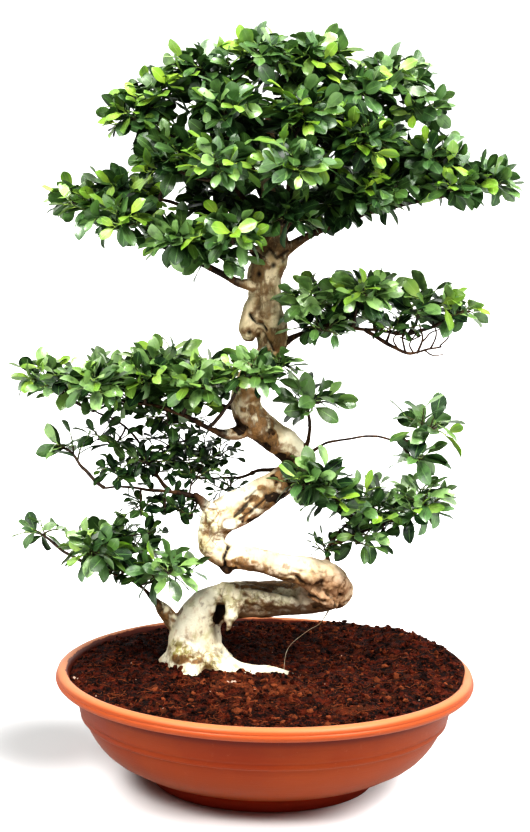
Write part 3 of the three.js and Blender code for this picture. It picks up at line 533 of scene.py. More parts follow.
def pot_material():
    """Fired clay: a wall with painted shade under the rim, a rim painted lighter as if lit from above, a
    painted highlight along its top edge, and painted shade on the inner wall.
    """
    n = Nodes("pot_clay")
    level = n.part(n.place(), "Z")
    cloud, smudge = n.noise(7, 3, 0.6), n.noise(16, 4, 0.6, stretch=(1, 1, 0.25), seed=4.4)
    shade_inside = n.plus(n.value("within"), n.ramp(n.noise(60, 4, 0.6), 0.3, 0.7, -0.25, 0.25))
    lower_wall, wall = (0.248, 0.047, 0.007), (0.240, 0.033, 0.004)
    cloudy, smudged = (0.29, 0.060, 0.011), (0.18, 0.030, 0.008)
    foot, corner, rim = (0.31, 0.034, 0.008), (0.12, 0.012, 0.003), (0.36, 0.080, 0.022)
    top_edge_highlight, dust, darkened = (0.48, 0.19, 0.085), (0.66, 0.32, 0.19), (0.105, 0.018, 0.007)
    tinted = n.coats(lower_wall,
                     (n.ramp(level, 0.030, 0.095), wall),
                     (n.ramp(cloud, 0.38, 0.66, 0.0, 0.6), cloudy),
                     (n.ramp(smudge, 0.55, 0.72, 0.0, 0.25), smudged))
    stained = n.coats(n.mix(n.ramp(level, 0.010, 0.024), foot, tinted),
                      # painted shade: a dark band under the rim's overhang
                      (n.ramp(level, 0.094, 0.103), corner),
                      # painted light: the rim lighter than the wall, as if lit from above
                      (n.ramp(level, 0.1068, 0.1095), rim),
                      # painted highlight along the rim's top edge
                      (n.ramp(level, 0.1175, 0.1215), top_edge_highlight),
                      (n.ramp(n.noise(130, 5, 0.7), 0.60, 0.80, 0.0, 0.18), dust),
                      # painted shade on the inner wall, broken up by noise
                      (n.ramp(shade_inside, 0.55, 0.85), darkened))
    n.set(Base_Color=stained, Roughness=n.ramp(cloud, 0.3, 0.7, 0.34, 0.46), Specular_IOR_Level=0.24)
    swirl = n.noise(200, 2, 0.5, stretch=(0.12, 0.12, 5))
    n.relief(n.plus(n.times(n.noise(900, 3, 0.6), 0.35), swirl), 0.3, 0.0006)
    return n.material


def soil_material():
    """Dark peat with rusty grains; a higher tone, partly random and partly painted light and shade, makes it
    drier and lighter, and above 1.4 it is a pale chip.
    """
    n = Nodes("soil_peat")
    tone, coarse, fine = n.value("tone"), n.noise(85, 5, 0.68), n.noise(380, 5, 0.7)
    black, peat, rust, dry_and_lit, chip = ((0.0036, 0.0009, 0.0008), (0.086, 0.0150, 0.0060), (0.23, 0.052, 0.018),
                                    (0.27, 0.084, 0.034), (0.50, 0.38, 0.30))
    colour = n.coats(black, (n.ramp(coarse, 0.44, 0.65), peat), (n.ramp(fine, 0.52, 0.72, 0.0, 0.8), rust),
                     (n.ramp(tone, 0.35, 1.0, 0.0, 0.8), dry_and_lit), (n.ramp(tone, 1.4, 1.6), chip))
    n.set(Base_Color=colour, Roughness=n.ramp(fine, 0.3, 0.7, 0.6, 0.95), Specular_IOR_Level=0.12)
    n.relief(n.plus(coarse, n.times(fine, 0.7)), 1.0, 0.003)
    return n.material


def plain_bark(n, level, broad, middle, streak, fine):
    """Bark that is cream low down and buff higher up, with streaks, moss, dirt and painted shade on its
    undersides.
    """
    moss = n.value("moss")
    faces_up = n.part(n.make("ShaderNodeNewGeometry").outputs["Normal"], "Z")
    second_bend = n.times(n.ramp(level, 0.200, 0.222), n.ramp(level, 0.268, 0.248))
    above_base, high = n.ramp(level, 0.19, 0.215), n.ramp(level, 0.33, 0.46)
    cream, rosy, warm_cream = (0.87, 0.83, 0.66), (0.78, 0.64, 0.48), (0.74, 0.63, 0.43)
    straw, buff, tan = (0.80, 0.74, 0.54), (0.66, 0.55, 0.37), (0.46, 0.34, 0.18)
    light = n.coats(cream, (second_bend, rosy), (high, warm_cream))
    dull = n.coats(straw, (above_base, buff), (high, tan))

    green = n.times(n.ramp(n.noise(40, 4, 0.6, seed=7.7), 0.56, 0.68), 0.5)
    lichen = n.times(moss, n.ramp(n.noise(150, 5, 0.7, seed=2.2), 0.42, 0.60, 0.15, 1.0))
    dirt = n.times(moss, n.ramp(n.noise(110, 5, 0.7, seed=5.9), 0.54, 0.64, 0.0, 0.9))
    shade = n.plus(faces_up, n.ramp(middle, 0.3, 0.7, -0.35, 0.35))
    ochre, blotch, olive = (0.46, 0.27, 0.12), (0.15, 0.07, 0.025), (0.36, 0.33, 0.11)
    soil_brown, speck, underside = (0.10, 0.070, 0.022), (0.10, 0.05, 0.02), (0.20, 0.088, 0.030)
    return n.coats(n.mix(n.ramp(broad, 0.44, 0.66), light, dull),
                   (n.ramp(streak, 0.50, 0.72, 0.0, 0.5), ochre),
                   (n.ramp(middle, 0.61, 0.69, 0.0, 0.5), blotch),
                   (n.math("MAXIMUM", green, lichen, clamp=True), olive),
                   (dirt, soil_brown),
                   (n.ramp(fine, 0.62, 0.76, 0.0, 0.5), speck),
                   # painted shade: darker where the surface faces down
                   (n.ramp(shade, 0.10, -0.60, 0.0, 0.85), underside))


def bark_material():
    """The tree's bark, with its brown stains, painted shade and shadow under its limbs and in its recesses,
    wrinkles, cracks, scars and dark thin twigs.
    """
    n = Nodes("bark")
    level = n.part(n.place(), "Z")
    broad, middle = n.noise(26, 3, 0.55), n.noise(75, 5, 0.62, seed=3.1)
    streak, fine = n.noise(130, 4, 0.6, stretch=(1, 1, 0.4), seed=1.7), n.noise(560, 5, 0.7)
    stain, plates = n.value("stain"), n.value("plates")
    grain = n.ramp(n.plus(n.times(streak, 0.7), n.times(fine, 0.3)), 0.40, 0.62)
    brown = n.mix(n.ramp(level, 0.42, 0.47), n.mix(grain, (0.075, 0.034, 0.010), (0.34, 0.185, 0.068)),
                  n.mix(grain, (0.080, 0.042, 0.016), (0.27, 0.165, 0.075)))
    # brown where the bark is stained, and painted shade under limbs and segments and behind lumps
    darkened = n.times(stain, n.ramp(streak, 0.3, 0.55, 0.45, 1.15))
    painted_shadow = n.times(stain, n.ramp(middle, 0.3, 0.6, 0.7, 1.1))
    wrinkle = n.times(n.times(n.cracks(95, 0.055), n.ramp(broad, 0.35, 0.55, 0.25, 0.75)), plates)
    black, burr, line = (0.016, 0.007, 0.003), (0.37, 0.215, 0.120), (0.22, 0.130, 0.048)
    split, healed, shade_in_recesses = (0.14, 0.070, 0.024), (0.84, 0.82, 0.74), (0.008, 0.004, 0.0025)
    marked = n.coats(plain_bark(n, level, broad, middle, streak, fine),
                     (n.ramp(darkened, 0.22, 0.80, 0.0, 0.92), brown),
                     # painted shadow: near black where the painted shade is strongest
                     (n.ramp(painted_shadow, 0.95, 1.3, 0.0, 0.95), black),
                     (n.times(n.value("burr"), n.ramp(middle, 0.34, 0.54, 0.5, 0.9)), burr),
                     (wrinkle, line),
                     (n.times(n.value("crack"), n.ramp(streak, 0.3, 0.5, 0.4, 1.0)), split),
                     (n.value("pale"), healed))
    twig = n.mix(n.ramp(streak, 0.4, 0.6), (0.018, 0.008, 0.004), (0.085, 0.042, 0.018))
    # painted shade, near black, in grooves, slits, pits and hollows, and a dark ring round the scar
    colour = n.coats(marked, (n.ramp(n.value("girth"), 6.4, 3.8), twig), (n.value("dark"), shade_in_recesses))
    n.set(Base_Color=colour, Roughness=n.ramp(fine, 0.3, 0.7, 0.5, 0.8), Specular_IOR_Level=0.22)
    rough = n.plus(n.times(middle, 0.9), n.times(fine, 0.4))
    n.relief(n.math("SUBTRACT", rough, n.times(wrinkle, 0.5)), 0.8, 0.002)
    return n.material


def leaf_material():
    """Glossy leaves: from dark through grown to lit, partly by age and partly by painted light and shade, or
    young and yellow-green, with a pale rib and veins.
    """
    n = Nodes("leaf_green")
    uv = n.make("ShaderNodeUVMap", uv_map="UVMap").outputs[0]
    along, across = n.part(uv, "X"), n.math("ABSOLUTE", n.part(uv, "Y"))
    age, kind, under = n.value("young"), n.value("kind"), n.value("under")
    cloud, patch = n.noise(110, 3, 0.55), n.noise(62, 3, 0.55, seed=3.3)
    old, grown, lit = (0.006, 0.020, 0.009), (0.076, 0.160, 0.052), (0.255, 0.400, 0.145)
    mottle, hollow, underside = (0.100, 0.200, 0.068), (0.010, 0.034, 0.013), (0.10, 0.19, 0.06)
    young_stalk, young_tip = (0.42, 0.58, 0.085), (0.23, 0.42, 0.045)
    veins, rib, young_rib = (0.20, 0.36, 0.12), (0.17, 0.33, 0.10), (0.50, 0.64, 0.18)
    ridge = n.ramp(across, 0.09, 0.02, 0.0, 0.5)
    vein_count, vein_slant = 58.0, 20.0
    slanted = n.math("SUBTRACT", n.times(along, vein_count), n.times(across, vein_slant))
    vein = n.ramp(n.math("SINE", slanted), 0.80, 1.0)
    # kind carries painted light and shade as well as age: near black for shaded leaves, lit for leaves in
    # the light
    colour = n.coats(old,
                     (n.ramp(kind, 0.0, 0.55), grown),
                     (n.ramp(kind, 0.55, 1.0), lit),
                     (n.ramp(cloud, 0.4, 0.7, 0.0, 0.25), mottle),
                     (age, n.mix(n.ramp(along, 0.0, 1.0), young_stalk, young_tip)),
                     (n.times(n.ramp(patch, 0.50, 0.66), n.ramp(age, 0.0, 0.6, 0.62, 0.2)), hollow),
                     (n.times(vein, 0.12), veins),
                     (ridge, n.mix(age, rib, young_rib)),
                     (n.ramp(under, 0.4, 0.6, 0.0, 0.5), underside))
    n.set(Base_Color=colour, Roughness=n.ramp(cloud, 0.3, 0.7, 0.30, 0.44),
          Specular_IOR_Level=n.ramp(kind, 0.0, 0.45, 0.2, 0.7),
          Coat_Weight=n.ramp(kind, 0.05, 0.6, 0.05, 0.65), Coat_Roughness=0.22)
    n.relief(n.plus(n.times(vein, -0.25), n.times(ridge, -0.6)), 0.35, 0.0006)
    return n.material


def twig_material():
    n = Nodes("twig_brown")
    grain = n.noise(300, 4, 0.65)
    dark, brown, green = (0.014, 0.007, 0.004), (0.075, 0.038, 0.018), (0.16, 0.26, 0.06)
    colour = n.coats(dark, (n.ramp(grain, 0.35, 0.68), brown), (n.value("young"), green))
    n.set(Base_Color=colour, Roughness=0.7)
    n.relief(grain, 0.5, 0.0006)
    return n.material


# Bowl: radius and height round the outside, over the rim, and down the inside
POT_OUTSIDE = [(0, 2.0), (96, 2.0), (106, 2.0), (109, 0.6), (112, 0), (116, 0), (119.6, 0.8),
               (120.6, 3), (121, 8), (121.6, 12.2), (123.6, 14.2), (129, 16.4), (136, 18.6),
               (143, 20.8), (149, 23.0), (153, 25.0), (156, 26.8), (160.4, 29.4), (167.5, 33.4),
               (174.5, 39), (180.5, 45.6), (186, 53.4), (190.2, 61), (193.0, 67.4), (193.6, 69.6),
               (196.6, 71.0), (198.2, 72.4), (198.3, 74.6), (197.7, 76.2), (197.9, 77.6),
               (199.6, 78.8), (199.8, 80.6), (201.4, 86), (204.4, 95.4), (207.0, 103.8),
               (209.0, 106.4), (214, 106.8), (219, 107.0), (222.6, 108.2), (224.6, 110.2),
               (225.4, 112.4), (225.3, 114.2), (224.3, 115.2), (224.6, 116.4), (223.4, 119.6),
               (220.4, 121.6), (217.6, 122), (214.8, 121.5), (213.1, 120.2), (212.0, 118)]
POT_INSIDE = [(209.8, 112), (206.3, 104), (198, 84), (190, 70), (181, 56.5), (170, 41), (157, 30),
              (141, 20), (126, 16), (114, 13), (112, 5), (0, 5)]


def pot_piece(material):
    """The bowl, turned on its axis from a profile with rounded corners."""
    sides = 200
    longest_step = 14
    profile = [np.array(POT_OUTSIDE[0], float)]
    for b in np.array(POT_OUTSIDE[1:] + POT_INSIDE, float):
        a = profile[-1]
        count = max(1, int(np.linalg.norm(b - a) // longest_step))
        profile += [a + (b - a) * (k + 1) / count for k in range(count)]
    profile = np.array(profile)
    radius, height = profile[1:-1].T[:, :, None]
    angle = TURN * np.arange(sides) / sides
    rings = np.stack([radius * np.cos(angle), radius * np.sin(angle), height + 0 * angle], -1)
    verts, faces = closed_rings(rings, (0, 0, profile[0, 1]), (0, 0, profile[-1, 1]))
    verts[:-2, :2] *= (1 + 0.35 * noise(verts[:-2], 90, 5) / 220)[:, None]
    past_top = np.arange(len(radius)) - int(height.argmax())
    within = np.where(past_top > 1, 1.0, np.where(past_top > 0, 0.6, 0.0))
    shape = Shape()
    shape.add(verts, faces, within=np.append(np.repeat(within, sides), [0, 1]))
    return shape.build("pot_bowl", [material], sharp=50)


# Soil
# The soil's height where it meets the bowl, by degrees from the right round to the back
SOIL_EDGE = [(-180, 114), (-130, 114), (-60, 114.5), (-35, 116), (-18, 119), (-6, 122), (6, 125.5),
             (20, 128.5), (30, 131), (40, 127.5), (50, 127), (60, 125.5), (70, 121.5), (80, 118.5),
             (110, 117.5), (140, 117), (180, 114)]
SOIL_LEVEL = 113.5  # of the flat soil beside the wall
SOIL_REACH = [(104, 206.2), (112, 209.2), (118, 211.2), (120.5, 212.3), (123, 216.0), (129, 220.5)]
SOIL_WALL = [(205.2, 104), (196.6, 84), (188.6, 70), (168.6, 41), (139.6, 21.5), (112.6, 15.5), (110, 7)]
SOIL_FLOOR = SOIL_WALL[-1][1]


def soil_edge(angle):
    level = np.interp(np.degrees(angle), *np.array(SOIL_EDGE, float).T)
    flat = 200 * np.stack([np.cos(angle), np.sin(angle), np.zeros_like(angle)], -1)
    return level + 0.8 * noise(flat, 22, 15)


def soil_reach(level):
    """How far out soil of some height reaches: to the wall, or over the rim's inner lip."""
    return np.interp(level, *np.array(SOIL_REACH).T)


def soil_height(x, y):
    """The height of the soil's top, with its mound, clods and hollows."""
    r = np.hypot(x, y)
    edge = soil_edge(np.arctan2(y, x))
    base = np.interp(r, [0, 160, 200, 208], [117.5, 115, 114, SOIL_LEVEL])
    heaped = (edge - SOIL_LEVEL) * smooth(r, 80, 196)
    heaped = heaped - np.maximum(base + heaped - 123, 0) * smooth(r, 206, 218)
    over_root = 7 * np.exp(-((x + 14) ** 2 + (y - 62) ** 2) / 25 ** 2)
    flat = np.stack([x, y, np.zeros_like(x)], -1)
    clods = waves(flat, [(2.4, 30, 11), (2.0, 13, 12), (0.9, 3.4, 14)]) + 1.6 * np.abs(noise(flat, 7, 13))
    return base + heaped + over_root + clods * smooth(soil_reach(edge) - r, -1, 8)


def painted_soil_light(x, y):
    """Painted light on the soil in front of the trunk, and painted shade on the soil at the left and back.
    """
    dry_and_lit = 0.30 * np.exp(-(((x + 10) / 90) ** 2 + ((y + 60) / 70) ** 2))
    darkened = 0.30 * np.exp(-(((x + 150) / 80) ** 2 + ((y - 40) / 110) ** 2))
    return dry_and_lit - darkened


def soil_piece(material):
    """The peat: its uneven top, its lip at the rim, and its sides down along the bowl's wall."""
    rings, sides = ((104, 330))
    angle = TURN * np.arange(sides) / sides
    angle = (angle + math.pi) % TURN - math.pi
    radii = soil_reach(soil_edge(angle)) * np.linspace(0, 1, rings + 1)[1:, None]
    x, y = radii * np.cos(angle), radii * np.sin(angle)
    top = np.stack([x, y, soil_height(x, y)], -1)
    lip = np.minimum(top[-1, :, 2] - 0.9, 122.5)
    lip_rings = [(radii[-1] - 0.4, lip), (np.minimum(radii[-1] - 0.8, 210.6), np.minimum(lip - 0.9, 119.0))]
    lower = [np.stack([r * np.cos(angle), r * np.sin(angle), z + 0 * angle], -1)
             for r, z in lip_rings + SOIL_WALL]
    summit = (0, 0, float(soil_height(np.zeros(1), np.zeros(1))[0]))
    verts, faces = closed_rings(np.concatenate([top, lower]), summit, (0, 0, SOIL_FLOOR))
    # the soil's tone: noise, plus painted light in front and painted shade at the left and back
    tone = 0.3 + 0.3 * noise(verts, 14, 21) + painted_soil_light(verts[:, 0], verts[:, 1])
    shape = Shape()
    shape.add(verts, [group[:, ::-1] for group in faces], tone=tone)
    return shape.build("soil_peat", [material])


def icosahedron():
    p = (1 + 5 ** 0.5) / 2
    v = np.array([(-1, p, 0), (1, p, 0), (-1, -p, 0), (1, -p, 0), (0, -1, p), (0, 1, p), (0, -1, -p),
                  (0, 1, -p), (p, 0, -1), (p, 0, 1), (-p, 0, -1), (-p, 0, 1)], float) / math.hypot(1, p)
    f = np.array([(0, 11, 5), (0, 5, 1), (0, 1, 7), (0, 7, 10), (0, 10, 11), (1, 5, 9), (5, 11, 4),
                  (11, 10, 2), (10, 7, 6), (7, 1, 8), (3, 9, 4), (3, 4, 2), (3, 2, 6), (3, 6, 8), (3, 8, 9),
                  (4, 9, 5), (2, 4, 11), (6, 2, 10), (8, 6, 7), (9, 8, 1)])
    return v, f


def octahedron():
    v = np.array([(1, 0, 0), (0, 1, 0), (-1, 0, 0), (0, -1, 0), (0, 0, 1), (0, 0, -1)], float)
    round_the_waist = [(k, (k + 1) % 4) for k in range(4)]
    f = np.array([(a, b, 4) for a, b in round_the_waist] + [(b, a, 5) for a, b in round_the_waist])
    return v, f


# Pale chips on the soil: x, y and size
CHIPS = [(-203, -36, 2.2), (-199, -39, 1.5), (-32, -50, 2.4), (-35, -51, 2.2), (-39, -50, 1.7),
         (64, -39, 1.2), (84, 62, 1.7), (89, 61, 1.3), (146, -88, 1.1), (160, -98, 1.1), (-57, -77, 1.0),
         (-118, -75, 1.1)]
CHIP_TONE = 2.0


def add_crumbs(shape, rng, clear_of):
    """Crumbs of peat and a few pale chips."""
    count = 6200
    a = (rng.random(count) * 2 - 1) * math.pi
    r = (soil_reach(soil_edge(a)) - 2) * np.sqrt(rng.random(count))
    x, y = r * np.cos(a), r * np.sin(a)
    size = 0.7 + 2.6 * rng.random(count) ** 3.2
    pale = rng.random(count) < 0.003
    size[pale] = 0.7 + 0.6 * rng.random(pale.sum())
    # a crumb's tone: random, plus the painted light and shade of the soil where it lies
    tone = np.where(pale, CHIP_TONE, 0.9 * rng.random(count) ** 2.2 + painted_soil_light(x, y))
    crumbs = np.vstack([np.column_stack([x, y, size, tone]), [(*chip, CHIP_TONE) for chip in CHIPS]])
    x, y, size, tone = crumbs[clear_of(crumbs[:, :2])].T
    place = np.column_stack([x, y, soil_height(x, y) + 0.15 * size])
    spin = np.linalg.qr(rng.normal(size=(len(x), 3, 3)))[0]
    stretch = 1 + 0.35 * rng.normal(size=(len(x), 1, 3)).clip(-1.4, 1.8)
    for group, (template, faces) in ((size > 1.5, icosahedron()), (size <= 1.5, octahedron())):
        corners = len(template)
        jitter = 1 + 0.22 * rng.normal(size=(group.sum(), corners, 1)).clip(-1.5, 1.5)
        body = (template[None] * jitter * stretch[group]) @ spin[group] * size[group][:, None, None]
        body += place[group][:, None]
        index = (np.arange(group.sum())[:, None, None] * corners + faces[None]).reshape(-1, 3)
        shape.add(body.reshape(-1, 3), [index], tone=np.repeat(tone[group], corners))


def add_fibres(shape, rng, clear_of):
    """Short curved fibres, each a thin tube of five points."""
    steps = np.arange(5)
    for _ in range(520):
        r, a = 200 * math.sqrt(rng.random()), rng.random() * TURN
        start = np.array([r * math.cos(a), r * math.sin(a)])
        if not clear_of(start[None])[0]:
            continue
        heading = rng.random() * TURN
        length = 6 + 12 * rng.random()
        bend = heading + 0.5 * np.sin(steps * 1.3 + a * 7)
        x, y = (start + length * steps[:, None] / 4 * np.stack([np.cos(bend), np.sin(bend)], -1)).T
        if np.hypot(x, y).max() > 206:
            continue
        points = np.column_stack([x, y, soil_height(x, y) + 0.6 + 1.4 * rng.random(5)])
        verts, faces, _ = tube(points, np.full(5, 0.22 + 0.2 * rng.random()), 3, round_ends=False)
        shape.add(verts, faces, tone=0.5 + 0.5 * rng.random())


def crumbs_piece(material, clear_of):
    """Crumbs of peat, pale chips and fibres, which lie on the soil."""
    rng = np.random.default_rng(41)
    shape = Shape()
    add_crumbs(shape, rng, clear_of)
    add_fibres(shape, rng, clear_of)
    return shape.build("soil_crumbs", [material], smooth_shading=False)


# Wood
THICK = 3.4  # limbs are one body with the trunk down to this radius

# Lumps, ridges and stubs that grew out of the trunk: rows of x, y, z and radius
STRANDS = [
    [(-46, 20, 201, 10), (-23, 18, 200, 10), (4, 17, 196, 9.5), (32, 13, 192, 9)],
    [(-34, 24, 184, 12), (-12, 26, 184, 11.5), (12, 28, 187, 12)],
    [(-40, -8, 281, 6), (-22, -9, 292, 7.5), (-3, -4, 305, 7.5), (14, 2, 319, 7.5), (24, 8, 331, 6)],
    [(-60, -6, 292, 9), (-68, -10, 302, 6), (-75, -12, 310, 4), (-78, -13, 314, 2.6)],
    [(66, -2, 200, 12), (80, 0, 203, 11), (85, 2, 210, 8)],
    [(-62, -4, 262, 9), (-66, -6, 254, 8), (-58, -10, 246, 7)],
    [(-80, 14, 112, 20), (-60, 16, 108, 16)],
    [(-60, 8, 124, 10), (-44, -6, 118, 6), (-24, -10, 115, 4.6), (-6, -8, 114, 3.6)],
]

# Hollows (positive depth) and bumps (negative): x, y, z, radius, depth, and darkness, the painted shade in a
# hollow
DENTS = [
    (-30, 8, 170, 9, 4.0, 0.5), (-17, -13, 549, 5, 2.4, 1), (0, -13, 558, 5.2, 2.4, 1),
    (-24, -12, 487, 4.6, 1.8, 1), (-46, -10, 232, 9, -3.5, 0), (40, -22, 222, 8, -2.2, 0),
    (56, -22, 214, 6, 2.2, 0.4), (70, -22, 208, 4, 2.0, 0.5), (26, -26, 224, 5, 1.4, 0.3),
    (60, -10, 196, 5, 2.0, 0.4), (-12, 12, 200, 6, -2.6, 0), (12, 10, 194, 5, 2.2, 0.4),
    (-56, 20, 205, 9, -2.6, 0), (-88, 4, 130, 10, -2.6, 0), (-62, 0, 128, 9, -2.8, 0),
    (-76, 0, 124, 4, 2.6, 0.3), (-100, 12, 118, 8, -2.4, 0), (6, -4, 352, 6, 2.0, 0.4),
    (-6, -8, 402, 7, 1.8, 0.3), (-24, -10, 418, 6, -1.8, 0), (-4, -10, 434, 5, 1.8, 0.3),
    (10, -12, 520, 6, 1.8, 0.2), (-18, -12, 530, 6, -1.8, 0), (4, -14, 540, 5, -1.6, 0),
    (-12, -13, 572, 3.4, 1.8, 0.9), (10, -10, 562, 3, 1.2, 0.7),
    (-43, 12, 193, 7, -3.0, 0), (-29, 10, 191, 6, -3.2, 0), (-16, 12, 190, 6, -3.0, 0),
    (-2, 12, 189, 6, -2.6, 0), (14, 11, 189, 6, -2.4, 0), (-36, 10, 200, 4, 2.6, 0.5),
    (-22, 10, 199, 4, 2.4, 0.5), (-9, 10, 197, 4, 2.2, 0.5), (-36, 6, 184, 4, 1.6, 0.4),
    (-46, 5, 152, 5, 3.0, 0.9), (-52, 6, 162, 4, 2.0, 0.8),
]

SCARS = [(-41.4, -20, 283.7, 7.8)]  # healed pruning cuts: place and radius

# Cracks and grooves in the bark: points, width, depth, and darkness, the painted shade in them
GROOVES = [
    ([(-50, 7, 183), (-51, 6, 172), (-49, 6, 160), (-46, 5, 148), (-43, 4, 140)], 4.8, 9.0, 1.0),
    ([(-24, -6, 277), (-31, -8, 272), (-37, -10, 266), (-42, -16, 258)], 2.6, 4.0, 1.0),
    ([(-25, -18, 276), (-32, -20, 271), (-38, -22, 265), (-43, -24, 256), (-46, -24, 247), (-45, -24, 238)],
     2.4, 4.5, 1.0),
    ([(-36, -12, 290), (-29, -12, 297), (-18, -12, 308), (-7, -12, 319), (3, -10, 330), (13, -6, 343)],
     1.9, 3.0, 0.9),
    ([(-30, -14, 288), (-22, -14, 294), (-10, -12, 304), (0, -10, 314), (12, -8, 326), (20, -4, 336)],
     1.6, 2.4, 0.85),
    ([(-24, -10, 308), (-14, -8, 317), (-4, -8, 328), (4, -6, 338)], 1.5, 1.8, 0.8),
    ([(2, -12, 318), (11, -10, 328), (19, -6, 338)], 1.8, 2.2, 0.9),
    ([(-66, -14, 312), (-62, -18, 303), (-58, -20, 294)], 2.2, 3.0, 0.95),
    ([(-66, -20, 286), (-60, -22, 276), (-62, -22, 264)], 1.8, 1.8, 0.3),
    ([(-25, -13, 507), (-19, -13, 501), (-12, -13, 495), (-7, -13, 489)], 2.0, 3.6, 1.0),
    ([(-13, -13, 489), (-8, -13, 483), (-2, -13, 475), (3, -12, 467)], 2.2, 4.2, 1.0),
    ([(-28, -8, 497), (-22, -10, 503), (-16, -10, 512), (-14, -10, 524)], 2.4, 1.8, 0.2),
    ([(-6, -14, 577), (4, -14, 566), (14, -10, 572)], 2.2, 2.2, 0.8),
    ([(-16, 10, 180), (2, 10, 178), (22, 8, 180), (42, 4, 185)], 3.0, 2.2, 0.5),
    ([(-30, 16, 207), (-14, 14, 206), (10, 12, 204), (30, 8, 200), (46, 2, 193)], 2.0, 2.2, 0.5),
    ([(10, -8, 345), (4, -6, 358), (-4, -4, 368)], 2.4, 1.6, 0.5),
    ([(-51, -2, 140), (-43, -5, 131), (-35, -8, 124), (-26, -10, 119)], 3.2, 3.6, 1.0),
    ([(-80, -2, 150), (-78, -4, 138), (-77, -4, 126)], 2.0, 1.4, 0.3),
    ([(31, -28, 229), (38, -30, 223), (46, -30, 218), (54, -30, 214)], 2.4, 2.6, 0.9),
    ([(60, -24, 227), (58, -28, 218), (66, -24, 210), (76, -20, 206)], 2.0, 2.2, 0.8),
    ([(42, -20, 209), (52, -24, 204), (62, -22, 202), (74, -16, 200)], 2.2, 2.6, 0.9),
    ([(24, -26, 239), (36, -28, 236), (50, -26, 234)], 1.8, 1.6, 0.5),
    ([(-37, -26, 243), (-24, -26, 236), (-10, -26, 231), (9, -26, 226)], 2.2, 1.6, 0.35),
]

# Brown stains, and painted shade under limbs and segments and behind lumps, whose strongest rows, about 1
# and above, turn to painted near-black shadow: x, y, z, half-size along each axis, strength
STAINS_AND_SHADE = [
    (4, 24, 211, 42, 34, 9, 1.0), (12, 22, 168, 50, 34, 8, 0.9), (60, -4, 206, 34, 34, 24, 0.55),
    (24, -20, 219, 24, 24, 10, 0.7), (22, 8, 330, 22, 24, 20, 0.9), (4, 10, 314, 20, 20, 12, 0.6),
    (8, -4, 349, 20, 24, 9, 2.0), (-14, -6, 392, 28, 30, 24, 0.68), (-4, 0, 372, 18, 26, 13, 1.0),
    (-32, -4, 386, 12, 20, 9, 1.9), (-13, -4, 363, 15, 20, 8, 2.0), (3, -12, 381, 6, 14, 5, 1.5),
    (-22, -12, 405, 14, 14, 8, 0.95), (20, -6, 353, 10, 20, 6, 1.1),
    (-22, 4, 420, 22, 26, 16, 0.7), (-10, -6, 466, 16, 20, 22, 0.6), (4, -10, 482, 18, 24, 14, 0.8),
    (-8, -10, 516, 18, 24, 16, 0.55), (-16, -6, 552, 18, 26, 18, 0.7), (6, -8, 592, 30, 30, 28, 0.9),
    (-8, -8, 534, 14, 22, 16, 0.6),
    (-26, -22, 244, 16, 14, 6, 0.7), (-49, 8, 172, 7, 22, 17, 2.2), (-98, 20, 160, 12, 20, 14, 0.2),
    (-20, -14, 296, 9, 16, 5, 1.1), (-15, -14, 310, 8, 16, 6, 1.0), (-4, -14, 302, 14, 16, 5, 0.95),
    (0, -12, 316, 14, 16, 9, 0.6), (-8, -14, 320, 9, 14, 6, 0.85), (4, -10, 331, 9, 18, 7, 2.0),
    (20, -4, 340, 10, 22, 9, 2.0),
    (26, 2, 330, 9, 20, 10, 1.9), (62, -6, 189, 26, 24, 7, 1.9), (-40, -10, 236, 20, 18, 6, 1.8),
    (-52, -20, 547, 34, 26, 12, 1.1), (-118, 22, 186, 16, 18, 20, 1.05),
    (-34, 0, 272, 24, 18, 5, 1.35), (-10, -2, 288, 26, 18, 7, 1.9), (14, -2, 308, 24, 18, 8, 1.9),
    (-88, -2, 129, 18, 18, 7, 0.95), (-24, -8, 115, 14, 12, 4, 0.9), (12, -8, 113, 26, 8, 4, 0.9),
    (-44, -14, 234, 22, 18, 8, 1.1), (-4, -20, 224, 40, 20, 6, 0.9), (-38, 10, 166, 10, 12, 20, 1.0),
    (-10, -24, 236, 36, 14, 7, 0.5), (-104, 26, 174, 18, 14, 22, 0.75),
]

# Moss and green film, in the same form
MOSS = [(-94, 6, 136, 15, 20, 13, 0.9), (-44, 10, 180, 16, 16, 18, 0.8), (-64, -14, 276, 14, 14, 26, 0.6),
        (-82, 6, 128, 20, 14, 10, 0.8), (-20, 20, 196, 26, 20, 14, 0.7), (-46, 12, 210, 20, 14, 8, 0.5),
        (2, 14, 196, 44, 16, 12, 0.5), (-88, -2, 134, 18, 18, 9, 1.3), (-60, 0, 128, 16, 16, 8, 0.9)]

# Wrinkled bark with brown lines between its plates: x, y, z, half-size along each axis, strength
PLATES = [(-60, -10, 276, 18, 24, 36, 0.9), (-14, 0, 396, 30, 30, 40, 0.4), (-8, -4, 520, 30, 30, 50, 0.3),
          (54, -8, 212, 44, 34, 28, 0.8), (-10, 10, 190, 50, 30, 20, 0.6), (-80, 10, 130, 34, 40, 18, 0.6),
          (0, -20, 232, 40, 20, 10, 0.5)]

STUBS = {"left_pad": (26, 0.85), "low_left": (38, 1.2)}  # old stubs: length and girth
# Share of a limb's thickness that is left where the photo shows it slimmer than its solid
SLENDER = {"middle_back": 0.62, "right_twig_far": 0.7, "left_under": 0.7, "middle_left": 0.75,
           "low_right": 0.7, "low_right_outer": 0.7, "right_pad": 0.8, "left_pad_back": 0.7}


